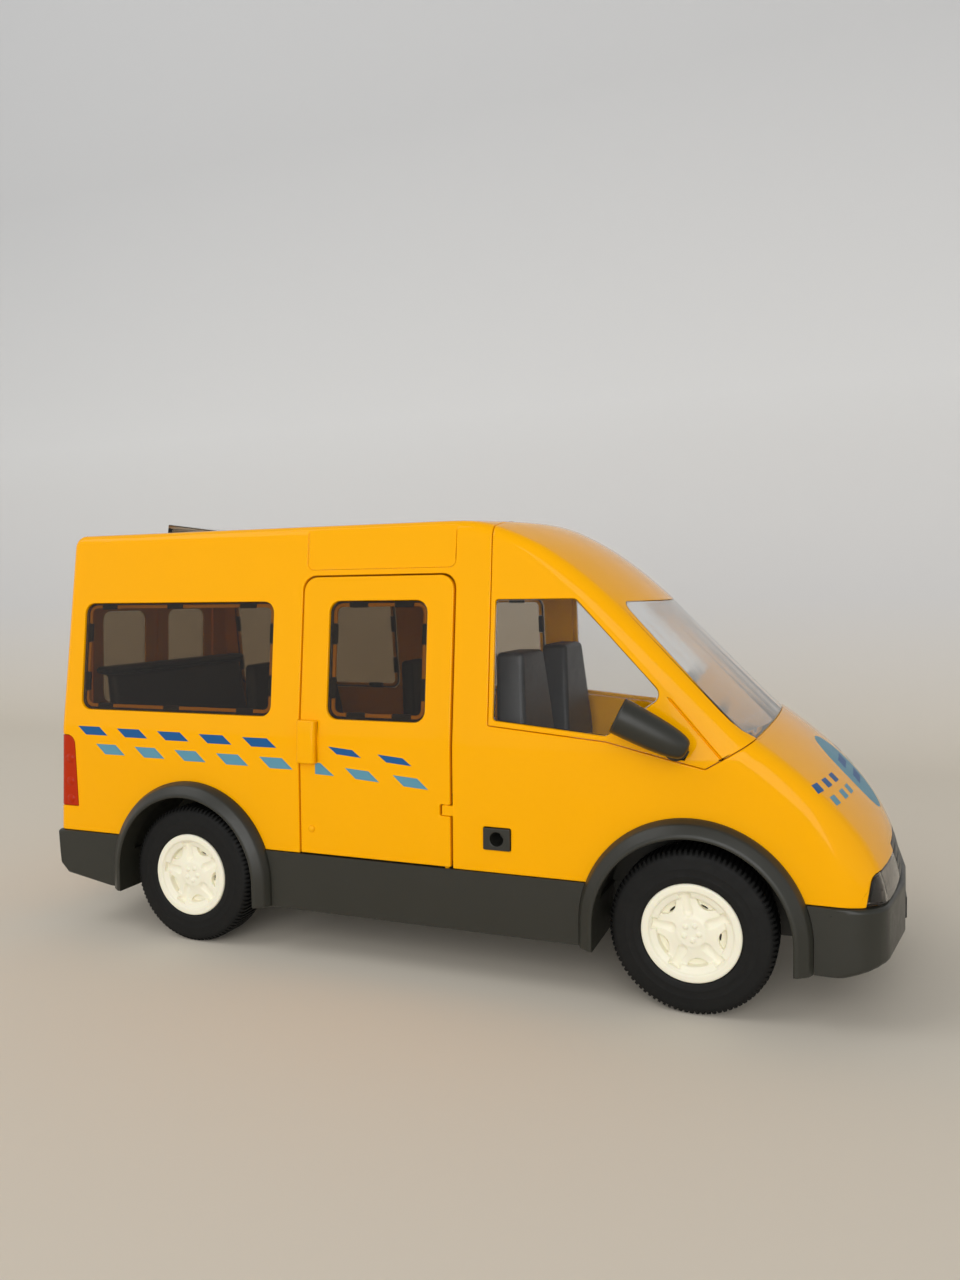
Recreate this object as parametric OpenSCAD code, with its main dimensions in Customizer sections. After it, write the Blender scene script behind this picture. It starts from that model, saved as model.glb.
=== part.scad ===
// Toy minibus with a lift-off cab roof, a hinged side door, two hinged rear doors,
// a tilting roof hatch, rolling wheelsets, a turning steering wheel and swivelling mirrors.
// Millimetres. +X is forward, +Y is the vehicle's left, +Z is up.
// The origin is on the ground under the middle of the bumpers.

/* [Body] */
// Distance from the middle of the vehicle to each bumper end
half_len = 153.6; // [153:0.1:154]
// Width of the body at its lower edge
body_w = 109.2; // [108:0.2:110]
// Width of the body at the waist
waist_w = 108.2; // [107.6:0.2:108.6]
// Height of the roof's crown
roof_z = 152.5; // [151.5:0.5:153]
// Height of the body's lower edge
sill_z = 37; // [36.6:0.1:37.4]
// Height of the waist, where the sides begin to lean in
waist_z = 77; // [75:1:78]
// How far the upper sides lean in for each millimetre of height
lean = 0.105; // [0.1:0.001:0.11]
// Wall thickness of the body mouldings
wall = 2.2; // [2:0.1:2.3]
// Lowest edge of the sills and bumpers
skirt_z = 17; // [16:0.5:18]

/* [Wheels] */
// Distance between the axles
wheelbase = 182; // [181:1:183]
// Middle of the wheelbase, ahead of the toy's middle
axle_mid_x = 1.6; // [1.2:0.1:2]
// Outer diameter of the tyres
tyre_d = 50; // [49:0.5:50]
// Diameter of the rims
rim_d = 30; // [29:0.5:31]
// Width of the tyres
tyre_w = 15; // [14:0.5:15.5]
// Diameter of the steel axles
axle_d = 4; // [3.6:0.1:4.2]
// Inner radius of the wheel arch trims
arch_r = 29.3; // [29:0.1:29.6]
// Spokes in each rim
spokes = 5; // [5:1:6]

/* [Doors and windows] */
// Rear edge of the side door
door_rear_x = -42.5; // [-43:0.5:-42]
// Front edge of the side door
door_front_x = 14.5; // [14:0.5:15]
// Top of the side door and the rear doors
door_top_z = 133.5; // [133:0.5:134]
// Lower edge of the windows
glass_low_z = 84.5; // [84:0.5:85]
// Upper edge of the windows
glass_top_z = 125; // [124.5:0.5:125.5]
// Thickness of the window panes
pane_t = 1.3; // [1.1:0.1:1.4]
// Tilt of the roof hatch at rest
hatch_tilt = 8; // [6:1:9]

/* [Interior] */
// Height of the cabin floor
floor_z = 34; // [33.5:0.5:34.5]
// Height of the seat cushions
cushion_z = 64; // [62:1:65]
// Height of the front seat backs
front_back_z = 107; // [105:1:108]
// Height of the passenger seat backs
rear_back_z = 100; // [98:1:101]

/* [Hidden] */
$fn = 64;
eps = 0.01;
fit = 0.05;        // radial clearance of a turning pin
gap = 0.3;         // space between pieces that move apart
seat_gap = 0.1;    // space between pieces that stay together
rear_axle_x = axle_mid_x - wheelbase / 2;
front_axle_x = axle_mid_x + wheelbase / 2;
axle_z = tyre_d / 2;
rim_face_y = 56;
rim_inner_y = rim_face_y - tyre_w + 1;
half_low = body_w / 2;
half_waist = waist_w / 2;
trim_y = half_low + 0.6;      // outer face of the bumpers and sills
arch_band = 5.4;              // width of the arch trims in side view
arch_lip = 1.2;               // the trims' inner edge, which lines the wheel opening
arch_proud = 5.4;             // how far the trims stand out from the body's side
// Section of the trims' flare: inwards from its edge, and out from the body's side
arch_edge = [[0, 0], [0, 1], [1.2, 3.4], [4.1, arch_proud]];
arch_cut_r = arch_r + arch_lip + seat_gap; // wheel opening in the body
house_r = 31.6;               // outside of the wheel housings
house_t = 1.4;
floor_t = 2.5;
house_inner_y = 31;
bearing_y = [20, 28];         // bearing blocks of the axles
sill_x = [rear_axle_x + arch_r + arch_band, front_axle_x - arch_r - arch_band];
sill_inner_y = half_low - 2.6;
under_z = -20;                // profiles run below the body and are cut at the sill

// Side profile along the centre line
rear_low_x = -152.6;
rear_top_x = -148.6;
rear_tilt = atan((rear_top_x - rear_low_x) / (roof_z - sill_z));
crest_z = roof_z + 1;
roof_flat_x = 24;
screen_top = [77, 123.5];
screen_low = [114.3, 85.4];
roof_pull = [46, crest_z];
bonnet_pull = [149.5, 62];
nose = [152.4, sill_z];
bow_x = -48;                  // the front curves in plan round this vertical axis
bow_from = 12;                // where the curved part begins
bow_overlap = 8;
roof_corner_r = 4;
roof_drop = 0.9;              // fall of the roof from its crown to its edges

// Parting line of the lift-off cab roof, from the roof down to the windscreen's foot
cab_seam_x = 27.6;
cab_line = [[cab_seam_x, 84.4], [66.5, 81], [96.6, 74.2], [107.6, 81], [114.3, 85.4], [150, 108.9]];
cab_frame = 1.8;              // width of the strip round the cab's side windows
cab_glass = [[cab_seam_x + cab_frame, glass_top_z], [56, glass_top_z], [84, 95.5], [66.5, 81 + cab_frame],
    [cab_seam_x + cab_frame, 84.4 + cab_frame]];
screen_top_y = 41.4;
screen_low_y = 51.2;
screen_low_z = 79;
screen_mid_z = 81.8;
screen_foot_z = 82.8;

// Windows, lamps and the accessory socket
rear_window_x = [-140.8, -55];
middle_window_x = [-32, 15];
door_window_x = [-32, 5];
window_corner_r = 4;
pane_depth = 0.7;             // how far the tinted panes lie below the body's face
lamp_inner_y = 21;            // where the headlights meet the grille
lamp_side = [[141, sill_z + gap], [170, sill_z + gap], [170, 45.2], [142.7, 46]];
lamp_depth = 3.4;
grille_top_z = 48;
tail_inner_y = 42.5;
tail_front_x = -143;
tail_z = [46.6, 74.1];
socket_low = [26.2, 44.5];
socket_high = [35.4, 51.6];
socket_pos = (socket_low + socket_high) / 2;
socket_r = 2.25;
socket_len = 9;
socket_proud = 0.5;
// Shallow panel above the side door
header_low = [-41.5, 136];
header_high = [15, 146];
header_depth = 0.5;

// Side door hinge, upright in the lower wall
hinge_x = door_front_x - 1.7;
hinge_y = -(half_low - 1.4);
hinge_r = 0.8;
lug_z = 58;
lug_h = 4;
door_slot = 0.75;             // gap along the hinged edge
door_rear_slot = 0.9;
door_top_slot = 0.6;

// Planes where the body's moulding is parted into flush panels
roof_part_z = door_top_z + door_top_slot;
rear_part_x = -135;
door_part_x = -14;
bonnet_part_x = 62;

// Rear doors, in the plane of the rear wall
rear_door_y = 38;
rear_door_low = 4;            // measured up the rear wall from the sill
rear_door_high = 96;
rear_hinge_r = 0.75;
rear_hinge_depth = 1.1;
rear_hinge_in = 0.9;

// Roof hatch
hatch_front_x = -86;
hatch_rear_x = -121.5;
hatch_y = 24;
hatch_t = 1.6;
hatch_pin_r = 1.2;
hatch_pin_z = roof_z - 2.6;

// Mirrors
mirror_peg = [88.5, 52, 80.5];
mirror_peg_r = 2;
mirror_r = 5.6;
mirror_len = 23;
mirror_rear = [72.3, 63.5, 90.9]; // middle of the open end
mirror_aim = [87.8, 60.5, 82.9]; // a point on the housing's axis

// Steering
steer_hub = [70, 25, 78];
steer_tilt = -35;
steer_r = 10;
steer_pin_r = 1.2;

yellow = [0.96, 0.66, 0.02];
dark = [0.24, 0.24, 0.23];
smoke = [0.35, 0.32, 0.29, 0.55];
clear = [0.85, 0.87, 0.88, 0.35];
ivory = [0.93, 0.91, 0.83];
black = [0.1, 0.1, 0.1];

// Outlines

function unit(v) = v / norm(v);
function left_of(v) = [-v[1], v[0]];
// A closed counter-clockwise outline moved inwards by d.
function inset(pts, d) = let(n = len(pts)) [for (i = [0 : n - 1])
    let(a = left_of(unit(pts[i] - pts[(i + n - 1) % n])), b = left_of(unit(pts[(i + 1) % n] - pts[i])))
    pts[i] + d * (a + b) / (1 + a * b)];
// The corner at p between a and b, rounded to radius r.
function fillet(a, p, b, r, n = 5) =
    let(u = unit(a - p), v = unit(b - p), half = acos(u * v) / 2,
        c = p + unit(u + v) * r / sin(half), s = p + u * r / tan(half) - c, e = p + v * r / tan(half) - c,
        from = atan2(s[1], s[0]), turn = atan2(e[1], e[0]) - from,
        sweep = turn > 180 ? turn - 360 : turn < -180 ? turn + 360 : turn)
    [for (i = [0 : n]) c + r * [cos(from + sweep * i / n), sin(from + sweep * i / n)]];
// A closed outline with its corners rounded; radii is one value or one for each corner.
function rounded(pts, radii) = let(n = len(pts)) [for (i = [0 : n - 1])
    let(r = is_list(radii) ? radii[i] : radii)
    each r > 0 ? fillet(pts[(i + n - 1) % n], pts[i], pts[(i + 1) % n], r) : [pts[i]]];
function oblong(x0, z0, x1, z1) = [[x0, z0], [x1, z0], [x1, z1], [x0, z1]];
// Points of a quadratic curve from a to b, pulled towards p.
function curve(a, p, b, n) = [for (i = [0 : n]) let(t = i / n)
    (1 - t) * (1 - t) * a + 2 * t * (1 - t) * p + t * t * b];
function mirror_pts(pts) = [for (i = [len(pts) - 1 : -1 : 0]) [-pts[i][0], pts[i][1]]];

// Half width of the body at a height.
function half_at(z) = z < waist_z
    ? half_low + (half_waist - half_low) * (z - sill_z) / (waist_z - sill_z)
    : half_waist - lean * (z - waist_z);
// Place of the rear wall's outer face at a height.
function rear_at(z) = rear_low_x + (z - sill_z) * tan(rear_tilt);

front_line = concat([[nose[0], under_z]], curve(nose, bonnet_pull, screen_low, 8),
    curve(screen_top, roof_pull, [roof_flat_x, crest_z], 8));
rear_line = concat(fillet([0, crest_z], [rear_at(crest_z), crest_z], [rear_at(sill_z), sill_z], 5),
    [[rear_at(under_z), under_z]]);
profile = concat(front_line, rear_line);
function front_part(t) = let(p = inset(profile, t), n = len(front_line))
    concat([[bow_from, under_z + t]], [for (i = [0 : n - 1]) p[i]], [[bow_from, crest_z - t]]);
function rear_part(t) = let(p = inset(profile, t), n = len(front_line))
    concat([[bow_from + bow_overlap, crest_z - t]], [for (i = [n : len(p) - 1]) p[i]],
        [[bow_from + bow_overlap, under_z + t]]);

roof_edge_y = half_at(roof_z - roof_drop);
roof_half = concat([[half_low, under_z], [half_low, sill_z], [half_waist, waist_z]],
    fillet([half_waist, waist_z], [roof_edge_y, roof_z - roof_drop], [0, roof_z], roof_corner_r),
    [for (k = [2, 1]) let(y = roof_edge_y * k / 4) [y, roof_z - roof_drop * pow(k / 4, 2)]]);
section = concat(roof_half, [[0, roof_z]], mirror_pts(roof_half));

function plan_outline(rear_x, half, front_x, rear_r) = let(bow = 1, corner = 7.9, front_r = 12)
    rounded([[rear_x, -half], [front_x - corner, -half], [front_x - bow, -22], [front_x, 0],
        [front_x - bow, 22], [front_x - corner, half], [rear_x, half]],
        [rear_r, front_r, 0, 0, 0, front_r, rear_r]);
plan = plan_outline(rear_low_x - 0.4, half_low + 0.2, nose[0] + 0.6, 4);
bumper_t = 2.8;
bumper_plan = plan_outline(-half_len, trim_y, half_len, 2);
bumper_core = plan_outline(-half_len + bumper_t, trim_y - bumper_t, half_len - bumper_t, 1);

// Solids from outlines

module along_x(pts, x0, x1) translate([x0, 0, 0]) rotate([90, 0, 90]) linear_extrude(x1 - x0) polygon(pts);
module along_y(pts, y0, y1) translate([0, y1, 0]) rotate([90, 0, 0]) linear_extrude(y1 - y0) polygon(pts);
module along_z(pts, z0, z1) translate([0, 0, z0]) linear_extrude(z1 - z0) polygon(pts);
// A prism through one side wall: side -1 is the right, +1 the left.
module through_side(pts, side) along_y(pts, side < 0 ? -70 : 30, side < 0 ? -30 : 70);
module block(low, high) translate(low) cube(high - low);
module round_y(r, y0, y1) translate([0, y0, 0]) rotate([-90, 0, 0]) cylinder(r = r, h = y1 - y0);
// Places children in the rear wall's frame: x into the vehicle, z up the wall from the sill.
module on_rear_wall() translate([rear_low_x, 0, sill_z]) rotate([0, rear_tilt, 0]) children();

// The body's outer form, moved inwards by t.
module skin(t) {
    intersection() {
        union() {
            along_y(rear_part(t), -80, 80);
            translate([bow_x, 0, 0]) rotate([0, 0, -64]) rotate_extrude(angle = 128, $fn = 128)
                polygon([for (p = front_part(t)) [p[0] - bow_x, p[1]]]);
        }
        along_x(inset(section, t), -200, 200);
        along_z(inset(plan, t), -40, 180);
    }
}
// A layer of the body's wall between two depths.
module layer(outer, inner) {
    difference() {
        skin(outer);
        skin(inner);
    }
}

// Regions of the body's pieces, grown by g

module cab_region(g) along_y(inset(concat([[cab_seam_x, 220]], cab_line, [[200, 220]]), -g), -90, 90);
function reversed(pts) = [for (i = [len(pts) - 1 : -1 : 0]) pts[i]];
module cab_glass_region(g, side)
    through_side(inset(reversed(rounded(cab_glass, [2.5, 3, 3, 2, 3])), -g), side);
module screen_region(g)
    along_x(rounded(inset([[-screen_low_y, screen_low_z], [-screen_low_y / 2, screen_mid_z], [0, screen_foot_z],
        [screen_low_y / 2, screen_mid_z], [screen_low_y, screen_low_z], [screen_top_y, screen_top[1] + 0.4],
        [-screen_top_y, screen_top[1] + 0.4]], -g), [3, 0, 0, 0, 3, 4, 4]), 60, 130);
module window_region(x, side, g)
    through_side(rounded(inset(oblong(x[0], glass_low_z, x[1], glass_top_z), -g), window_corner_r), side);
module door_region(low_z, rear_g, front_g, up_g)
    through_side(rounded(oblong(door_rear_x - rear_g, low_z, door_front_x + front_g, door_top_z + up_g),
        [0, 0, 5, 5]), -1);
module rear_door_region(side_g, end_g) on_rear_wall()
    along_x(rounded(oblong(-rear_door_y - side_g, rear_door_low - end_g, rear_door_y + side_g,
        rear_door_high + end_g), 2), -4, 9);
module hatch_region(g)
    block([hatch_rear_x - g, -hatch_y - g, roof_z - 8], [hatch_front_x + 2.4 + g, hatch_y + g, roof_z + 9]);
module lamp_region(side, g) {
    inner_y = lamp_inner_y - g;
    along_y(inset(lamp_side, -g), side < 0 ? -70 : inner_y, side < 0 ? -inner_y : 70);
}
module grille_region(g) {
    half = lamp_inner_y - seat_gap + g;
    block([138, -half, sill_z + gap - g], [170, half, grille_top_z + g]);
}
module tail_region(side, g) {
    inner_y = tail_inner_y - g;
    block([-170, side < 0 ? -70 : inner_y, tail_z[0] - g],
        [tail_front_x + g, side < 0 ? -inner_y : 70, tail_z[1] + g]);
}
module on_both_axles() for (x = [rear_axle_x, front_axle_x]) translate([x, 0, 0]) children();

// Lower mouldings

module bearing_block() block([-6, bearing_y[0], skirt_z + 1], [6, bearing_y[1], floor_z - floor_t + 0.1]);
module wheel_housing(s) {
    mirror([0, s < 0 ? 1 : 0, 0]) difference() {
        translate([0, 0, axle_z]) round_y(house_r, house_inner_y, half_low - wall - 0.6);
        translate([0, 0, axle_z]) round_y(house_r - house_t, house_inner_y + house_t, half_low);
        block([-40, 20, -20], [40, 60, floor_z - floor_t]);
    }
}
module chassis() {
    color(dark) difference() {
        union() {
            difference() {
                along_z(inset(plan, wall + 1), floor_z - floor_t, floor_z);
                for (s = [-1, 1]) on_both_axles() mirror([0, s < 0 ? 1 : 0, 0])
                    block([-house_r + 0.6, house_inner_y + house_t, 0], [house_r - 0.6, 70, 60]);
            }
            for (s = [-1, 1]) {
                on_both_axles() wheel_housing(s);
                mirror([0, s < 0 ? 1 : 0, 0]) {
                    block([sill_x[0], half_low - 6, floor_z - floor_t],
                        [sill_x[1], sill_inner_y - seat_gap, floor_z]);
                    on_both_axles() bearing_block();
                }
            }
        }
        on_both_axles() translate([0, 0, axle_z]) round_y(axle_d / 2 + fit, -40, 40);
        hinge_seat(seat_gap);
    }
}
module hinge_seat(g)
    block([hinge_x - 3 - g, -half_low + 1, skirt_z + 8], [hinge_x + 3 + g, hinge_y + 3 + g, sill_z - seat_gap]);
module sill(side) {
    color(dark) difference() {
        union() {
            mirror([0, side < 0 ? 1 : 0, 0])
                block([sill_x[0] - arch_band, sill_inner_y, skirt_z],
                    [sill_x[1] + arch_band, trim_y, sill_z - seat_gap]);
            if (side < 0) hinge_seat(0);
        }
        arch_seats();
        translate([hinge_x, hinge_y, sill_z - 5]) cylinder(r = hinge_r + fit, h = 10);
    }
}
module bumper_band(x_from, x_to) {
    intersection() {
        difference() {
            along_z(bumper_plan, skirt_z, sill_z - seat_gap);
            along_z(bumper_core, skirt_z - 5, sill_z - 2.4);
            along_z(inset(plan, wall + 0.9), skirt_z - 5, sill_z + 5);
        }
        block([x_from, -90, 0], [x_to, 90, 60]);
    }
}
// The outline of a wheel arch: round above the axle, straight down to low_z below it.
module arch_form(r, y0, y1, low_z) {
    intersection() {
        union() {
            translate([0, 0, axle_z]) round_y(r, y0, y1);
            block([-r, y0, low_z], [r, y1, axle_z]);
        }
        block([-r - 1, y0 - 1, low_z], [r + 1, y1 + 1, axle_z + r + 1]);
    }
}
module arch_seats() on_both_axles() arch_form(arch_r + arch_band, -90, 90, 0);
plate_y = 11;
plate_low_z = 22;
plate_high_z = 29;
module front_bumper() {
    color(dark) difference() {
        bumper_band(front_axle_x + arch_r, 200);
        arch_seats();
        along_y([[front_axle_x + 40, skirt_z - 1], [200, skirt_z - 1], [200, skirt_z + 8],
            [half_len - 8, skirt_z + 3.2]], -90, 90);
        block([half_len - 1.8, -plate_y - seat_gap, plate_low_z - seat_gap],
            [half_len + 5, plate_y + seat_gap, plate_high_z + seat_gap]);
    }
}
module rear_bumper() {
    color(dark) difference() {
        bumper_band(-200, rear_axle_x - arch_r);
        arch_seats();
        along_y([[-200, skirt_z - 1], [rear_axle_x - 34, skirt_z - 1], [-half_len + 5, skirt_z + 3],
            [-half_len + 1.4, skirt_z + 6.5], [-half_len - 0.5, sill_z + 1], [-200, sill_z + 1]], -90, 90);
    }
}
module front_plate() {
    color(black) block([half_len - 1.7, -plate_y, plate_low_z], [half_len - eps, plate_y, plate_high_z]);
}
// A ring that flares out from the body's side, straight down to low_z below the axle.
module arch_flare(r, low_z) {
    y0 = half_low + fit;
    pts = concat([for (p = arch_edge) [r - p[0], y0 + p[1]]],
        [[arch_r - 1, y0 + arch_proud], [arch_r - 1, y0]]);
    intersection() {
        translate([0, 0, axle_z]) rotate([-90, 0, 0]) rotate_extrude() polygon(pts);
        block([-r - 1, 0, axle_z], [r + 1, 90, axle_z + r + 1]);
    }
    for (s = [0, 1]) mirror([s, 0, 0]) along_z(pts, low_z, axle_z);
}
// A wheel arch trim: a flared ring with legs to the skirt, a lip and the wheel well's end walls.
module arch_trim(x, side) {
    r1 = arch_r + arch_band - seat_gap;
    well_y = 24;
    color(dark) mirror([0, side < 0 ? 1 : 0, 0]) translate([x, 0, 0]) {
        difference() {
            union() {
                arch_flare(r1, skirt_z);
                arch_form(arch_r + arch_lip, half_low - wall - 0.4, half_low + 2 * fit, skirt_z);
                intersection() {
                    arch_form(r1, sill_inner_y + fit, half_low + 2 * fit, skirt_z);
                    block([-60, 0, 0], [60, 90, sill_z - seat_gap]);
                }
                intersection() {
                    arch_form(r1, well_y, half_low, skirt_z);
                    block([-60, 0, 0], [60, 90, floor_z - floor_t - seat_gap]);
                }
            }
            arch_form(arch_r, 0, 90, 0);
        }
    }
}

// Body shell and what is fixed in it

module socket_seat(g) {
    block([socket_low[0] - g, -half_low - 5, socket_low[1] - g],
        [socket_high[0] + g, -half_low + 12, socket_high[1] + g]);
}
module shell_form() {
    difference() {
        union() {
            difference() {
                intersection() {
                    layer(0, wall);
                    block([-200, -90, sill_z], [200, 90, 200]);
                }
                cab_region(gap / 2);
                door_region(sill_z - 5, door_rear_slot, door_slot, door_top_slot);
                for (s = [-1, 1]) {
                    window_region(rear_window_x, s, seat_gap);
                    lamp_region(s, seat_gap);
                    tail_region(s, seat_gap);
                    on_both_axles() translate([0, 0, axle_z])
                        round_y(arch_cut_r, s < 0 ? -80 : 30, s < 0 ? -30 : 80);
                }
                window_region(middle_window_x, 1, seat_gap);
                grille_region(seat_gap);
                rear_door_region(0.9, 0.5);
                hatch_region(0.5);
                socket_seat(seat_gap);
                difference() {
                    through_side(rounded(oblong(header_low[0], header_low[1], header_high[0], header_high[1]),
                        2.5), -1);
                    skin(header_depth);
                }
            }
            intersection() {
                skin(0.1);
                block([hinge_x - 1.3, hinge_y - 4, lug_z - lug_h + gap], [hinge_x + 4, hinge_y + 1.2, lug_z - gap]);
            }
            translate([hinge_x, hinge_y, lug_z - 1]) cylinder(r = hinge_r, h = 5);
            for (s = [-1, 1]) {
                intersection() {
                    translate([hatch_front_x, s * (hatch_y + 3.2), hatch_pin_z]) round_y(hatch_pin_r + 0.9, -2, 2);
                    skin(0.1);
                }
                on_rear_wall() block([0.6, s * (rear_door_y - rear_hinge_in) - 2.5, rear_door_high + 0.6],
                    [3.4, s * (rear_door_y - rear_hinge_in) + 2.5, rear_door_high + 5]);
            }
        }
        for (s = [-1, 1]) {
            translate([hatch_front_x, s * (hatch_y + 3), hatch_pin_z]) round_y(hatch_pin_r + fit, -3, 3);
            on_rear_wall() translate([rear_hinge_depth, s * (rear_door_y - rear_hinge_in), 0]) {
                translate([0, 0, rear_door_low - 5]) cylinder(r = rear_hinge_r + fit, h = 6);
                translate([0, 0, rear_door_high - 1]) cylinder(r = rear_hinge_r + fit, h = 5);
            }
        }
    }
}
module shell_panel(low, high) {
    color(yellow) intersection() {
        shell_form();
        block(low, high);
    }
}
module side_pane(x, side) {
    color(smoke) intersection() {
        layer(pane_depth, pane_depth + pane_t);
        window_region(x, side, 0);
    }
}
module lamp(side) {
    color(clear) intersection() {
        layer(0.1, lamp_depth);
        lamp_region(side, 0);
    }
}
module grille() {
    color(dark) intersection() {
        layer(0.1, lamp_depth);
        grille_region(0);
    }
}
module tail_light(side) {
    color([0.75, 0.12, 0.04]) intersection() {
        layer(0.05, 2.6);
        tail_region(side, 0);
    }
}
module accessory_socket() {
    face_y = -half_low - socket_proud;
    color(dark) difference() {
        union() {
            block([socket_low[0], face_y, socket_low[1]], [socket_high[0], face_y + 3.2, socket_high[1]]);
            translate([socket_pos[0], 0, socket_pos[1]]) round_y(socket_r + 1.2, face_y, face_y + socket_len + 1.4);
        }
        translate([socket_pos[0], 0, socket_pos[1]]) round_y(socket_r, face_y - 1, face_y + socket_len);
    }
}

// Lift-off cab roof

module cab_roof() {
    peg = mirror_peg;
    color(yellow) difference() {
        union() {
            difference() {
                intersection() {
                    layer(0, wall);
                    cab_region(-gap / 2);
                }
                screen_region(seat_gap);
                for (s = [-1, 1]) cab_glass_region(seat_gap, s);
            }
            for (s = [-1, 1]) intersection() {
                translate([peg[0], 0, peg[2]]) round_y(4, s < 0 ? -60 : 48, s < 0 ? -48 : 60);
                skin(0.2);
                cab_region(-gap / 2);
            }
        }
        for (s = [-1, 1])
            translate([peg[0], 0, peg[2]]) round_y(mirror_peg_r + fit, s < 0 ? -70 : 40, s < 0 ? -40 : 70);
    }
}
module windscreen() {
    color(clear) intersection() {
        layer(0.2, 0.2 + pane_t);
        screen_region(0);
        cab_region(-gap / 2);
    }
}
module cab_window(side) {
    color(clear) intersection() {
        layer(0.5, 0.5 + pane_t);
        cab_glass_region(0, side);
        cab_region(-gap / 2);
    }
}
// A door mirror: a peg in the roof's corner and a tapered housing that opens to the rear.
module door_mirror(side) {
    axis = mirror_aim - mirror_rear;
    swing = atan2(axis[1], axis[0]);
    dip = acos(axis[2] / norm(axis));
    profile_r = concat([[0, 2.5], [mirror_r - 1.2, 1.2], [mirror_r - 0.4, 0]],
        curve([mirror_r, 0.6], [mirror_r - 0.4, mirror_len - 1], [2.2, mirror_len - 0.4], 10), [[0, mirror_len]]);
    color(dark) mirror([0, side < 0 ? 1 : 0, 0]) {
        translate(mirror_rear) rotate([0, dip, swing]) rotate_extrude() polygon(profile_r);
        translate([mirror_peg[0], 0, mirror_peg[2]]) {
            round_y(mirror_peg_r, 48.5, 60);
            round_y(3.6, half_waist + gap, mirror_aim[1] - 2);
        }
    }
}

// Doors and hatch

module side_door() {
    tab = [door_rear_x - 0.3, 69];
    tab_w = 7.4;
    color(yellow) {
        difference() {
            intersection() {
                layer(0, wall);
                door_region(sill_z + gap, 0, 0, 0);
            }
            window_region(door_window_x, -1, seat_gap);
            translate([hinge_x, hinge_y, lug_z - lug_h]) block([-2, -10, 0], [10, 10, lug_h]);
            translate([hinge_x, hinge_y, lug_z - 2]) cylinder(r = hinge_r + fit, h = 7);
        }
        difference() {
            intersection() {
                block([hinge_x - 2.4, hinge_y - 1, lug_z], [hinge_x + 0.6, hinge_y + 2.6, lug_z + 7]);
                skin(0.4);
            }
            translate([hinge_x, hinge_y, lug_z - 2]) cylinder(r = hinge_r + fit, h = 7);
        }
        translate([hinge_x, hinge_y, sill_z - 3]) cylinder(r = hinge_r, h = 3.5 + gap);
        difference() {
            along_z(rounded(oblong(tab[0], -half_low - 2.6, tab[0] + tab_w, -half_low + 1.2), [0.8, 0.8, 0, 0]),
                tab[1], tab[1] + 15);
            skin(0.3);
            block([tab[0] - 1, -half_low - gap, tab[1] - 1], [door_rear_x, -half_low + 9, tab[1] + 16]);
        }
    }
}
module rear_door(side) {
    color(yellow) mirror([0, side < 0 ? 1 : 0, 0]) on_rear_wall() {
        difference() {
            along_x(rounded(oblong(0.2, rear_door_low, rear_door_y, rear_door_high), [0, 3.5, 3.5, 0]), 0, wall);
            along_x(rear_glass(seat_gap), -5, 9);
        }
        translate([rear_hinge_depth, rear_door_y - rear_hinge_in, 0]) {
            translate([0, 0, rear_door_low - 3]) cylinder(r = rear_hinge_r, h = 4);
            translate([0, 0, rear_door_high - 1]) cylinder(r = rear_hinge_r, h = 4);
        }
        if (side < 0) block([-2.6, 1.5, 34], [0.2, 4.5, 44]);
    }
}
function rear_glass(g) = rounded(inset(oblong(7.5, glass_low_z - sill_z, 32, 84.5), -g), 3.5);
module rear_door_window(side) {
    color(smoke) mirror([0, side < 0 ? 1 : 0, 0]) on_rear_wall() along_x(rear_glass(0), 0.5, 0.5 + pane_t);
}
module roof_hatch() {
    len_x = hatch_front_x - hatch_rear_x;
    skirt = 3.4;
    color(smoke) translate([hatch_front_x, 0, hatch_pin_z]) rotate([0, hatch_tilt, 0]) {
        difference() {
            block([-len_x, -hatch_y, -skirt], [0, hatch_y, hatch_t]);
            block([-len_x + 1.4, -hatch_y + 1.4, -skirt - 1], [-1.4, hatch_y - 1.4, 0]);
        }
        round_y(hatch_pin_r, -hatch_y - 3.6, hatch_y + 3.6);
    }
}

// Interior

// Seat between y0 and y1, with its back's top front edge at x and its foot between foot_y0 and foot_y1.
module seat(x, y0, y1, back_z, taper, foot_y0, foot_y1, back_t = 5, recline = 5, depth = 31) {
    cushion_t = 5;
    low_x = x + recline;
    shoulder_z = cushion_z + 12;
    foot_z = floor_z + 0.05;
    cushion_low = cushion_z - cushion_t;
    color(dark) {
        intersection() {
            along_y([[x - back_t, back_z], [low_x - back_t, cushion_low], [low_x - back_t, foot_z],
                [low_x - 2, foot_z], [low_x, cushion_z], [x, back_z]], y0, y1);
            along_x([[foot_y0, 0], [foot_y1, 0], [foot_y1, cushion_low], [y1, cushion_low], [y1, shoulder_z],
                [y1 - taper, back_z], [y0 + taper, back_z], [y0, shoulder_z], [y0, cushion_low],
                [foot_y0, cushion_low]], -200, 200);
        }
        along_y([[low_x - 3, cushion_low], [x + depth, cushion_low], [x + depth + 1, cushion_z - 2],
            [x + depth - 1, cushion_z], [low_x - 3, cushion_z - 1.5]], y0 + 1, y1 - 1);
        block([x + depth - 7, foot_y0, foot_z], [x + depth - 4, foot_y1, cushion_low + 1]);
    }
}
module front_seat(side) {
    width = 35;
    y0 = side < 0 ? -8 - width : 8;
    seat(34.5, y0, y0 + width, front_back_z, 6, y0 + 5, y0 + width - 5, back_t = 10, recline = 3.5, depth = 28);
}
module single_seat() seat(-30, 6, 42, rear_back_z, 5, 10, 38);
module double_seat() seat(-82.5, -26, 42, rear_back_z, 4, -22, house_inner_y - 2);
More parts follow.
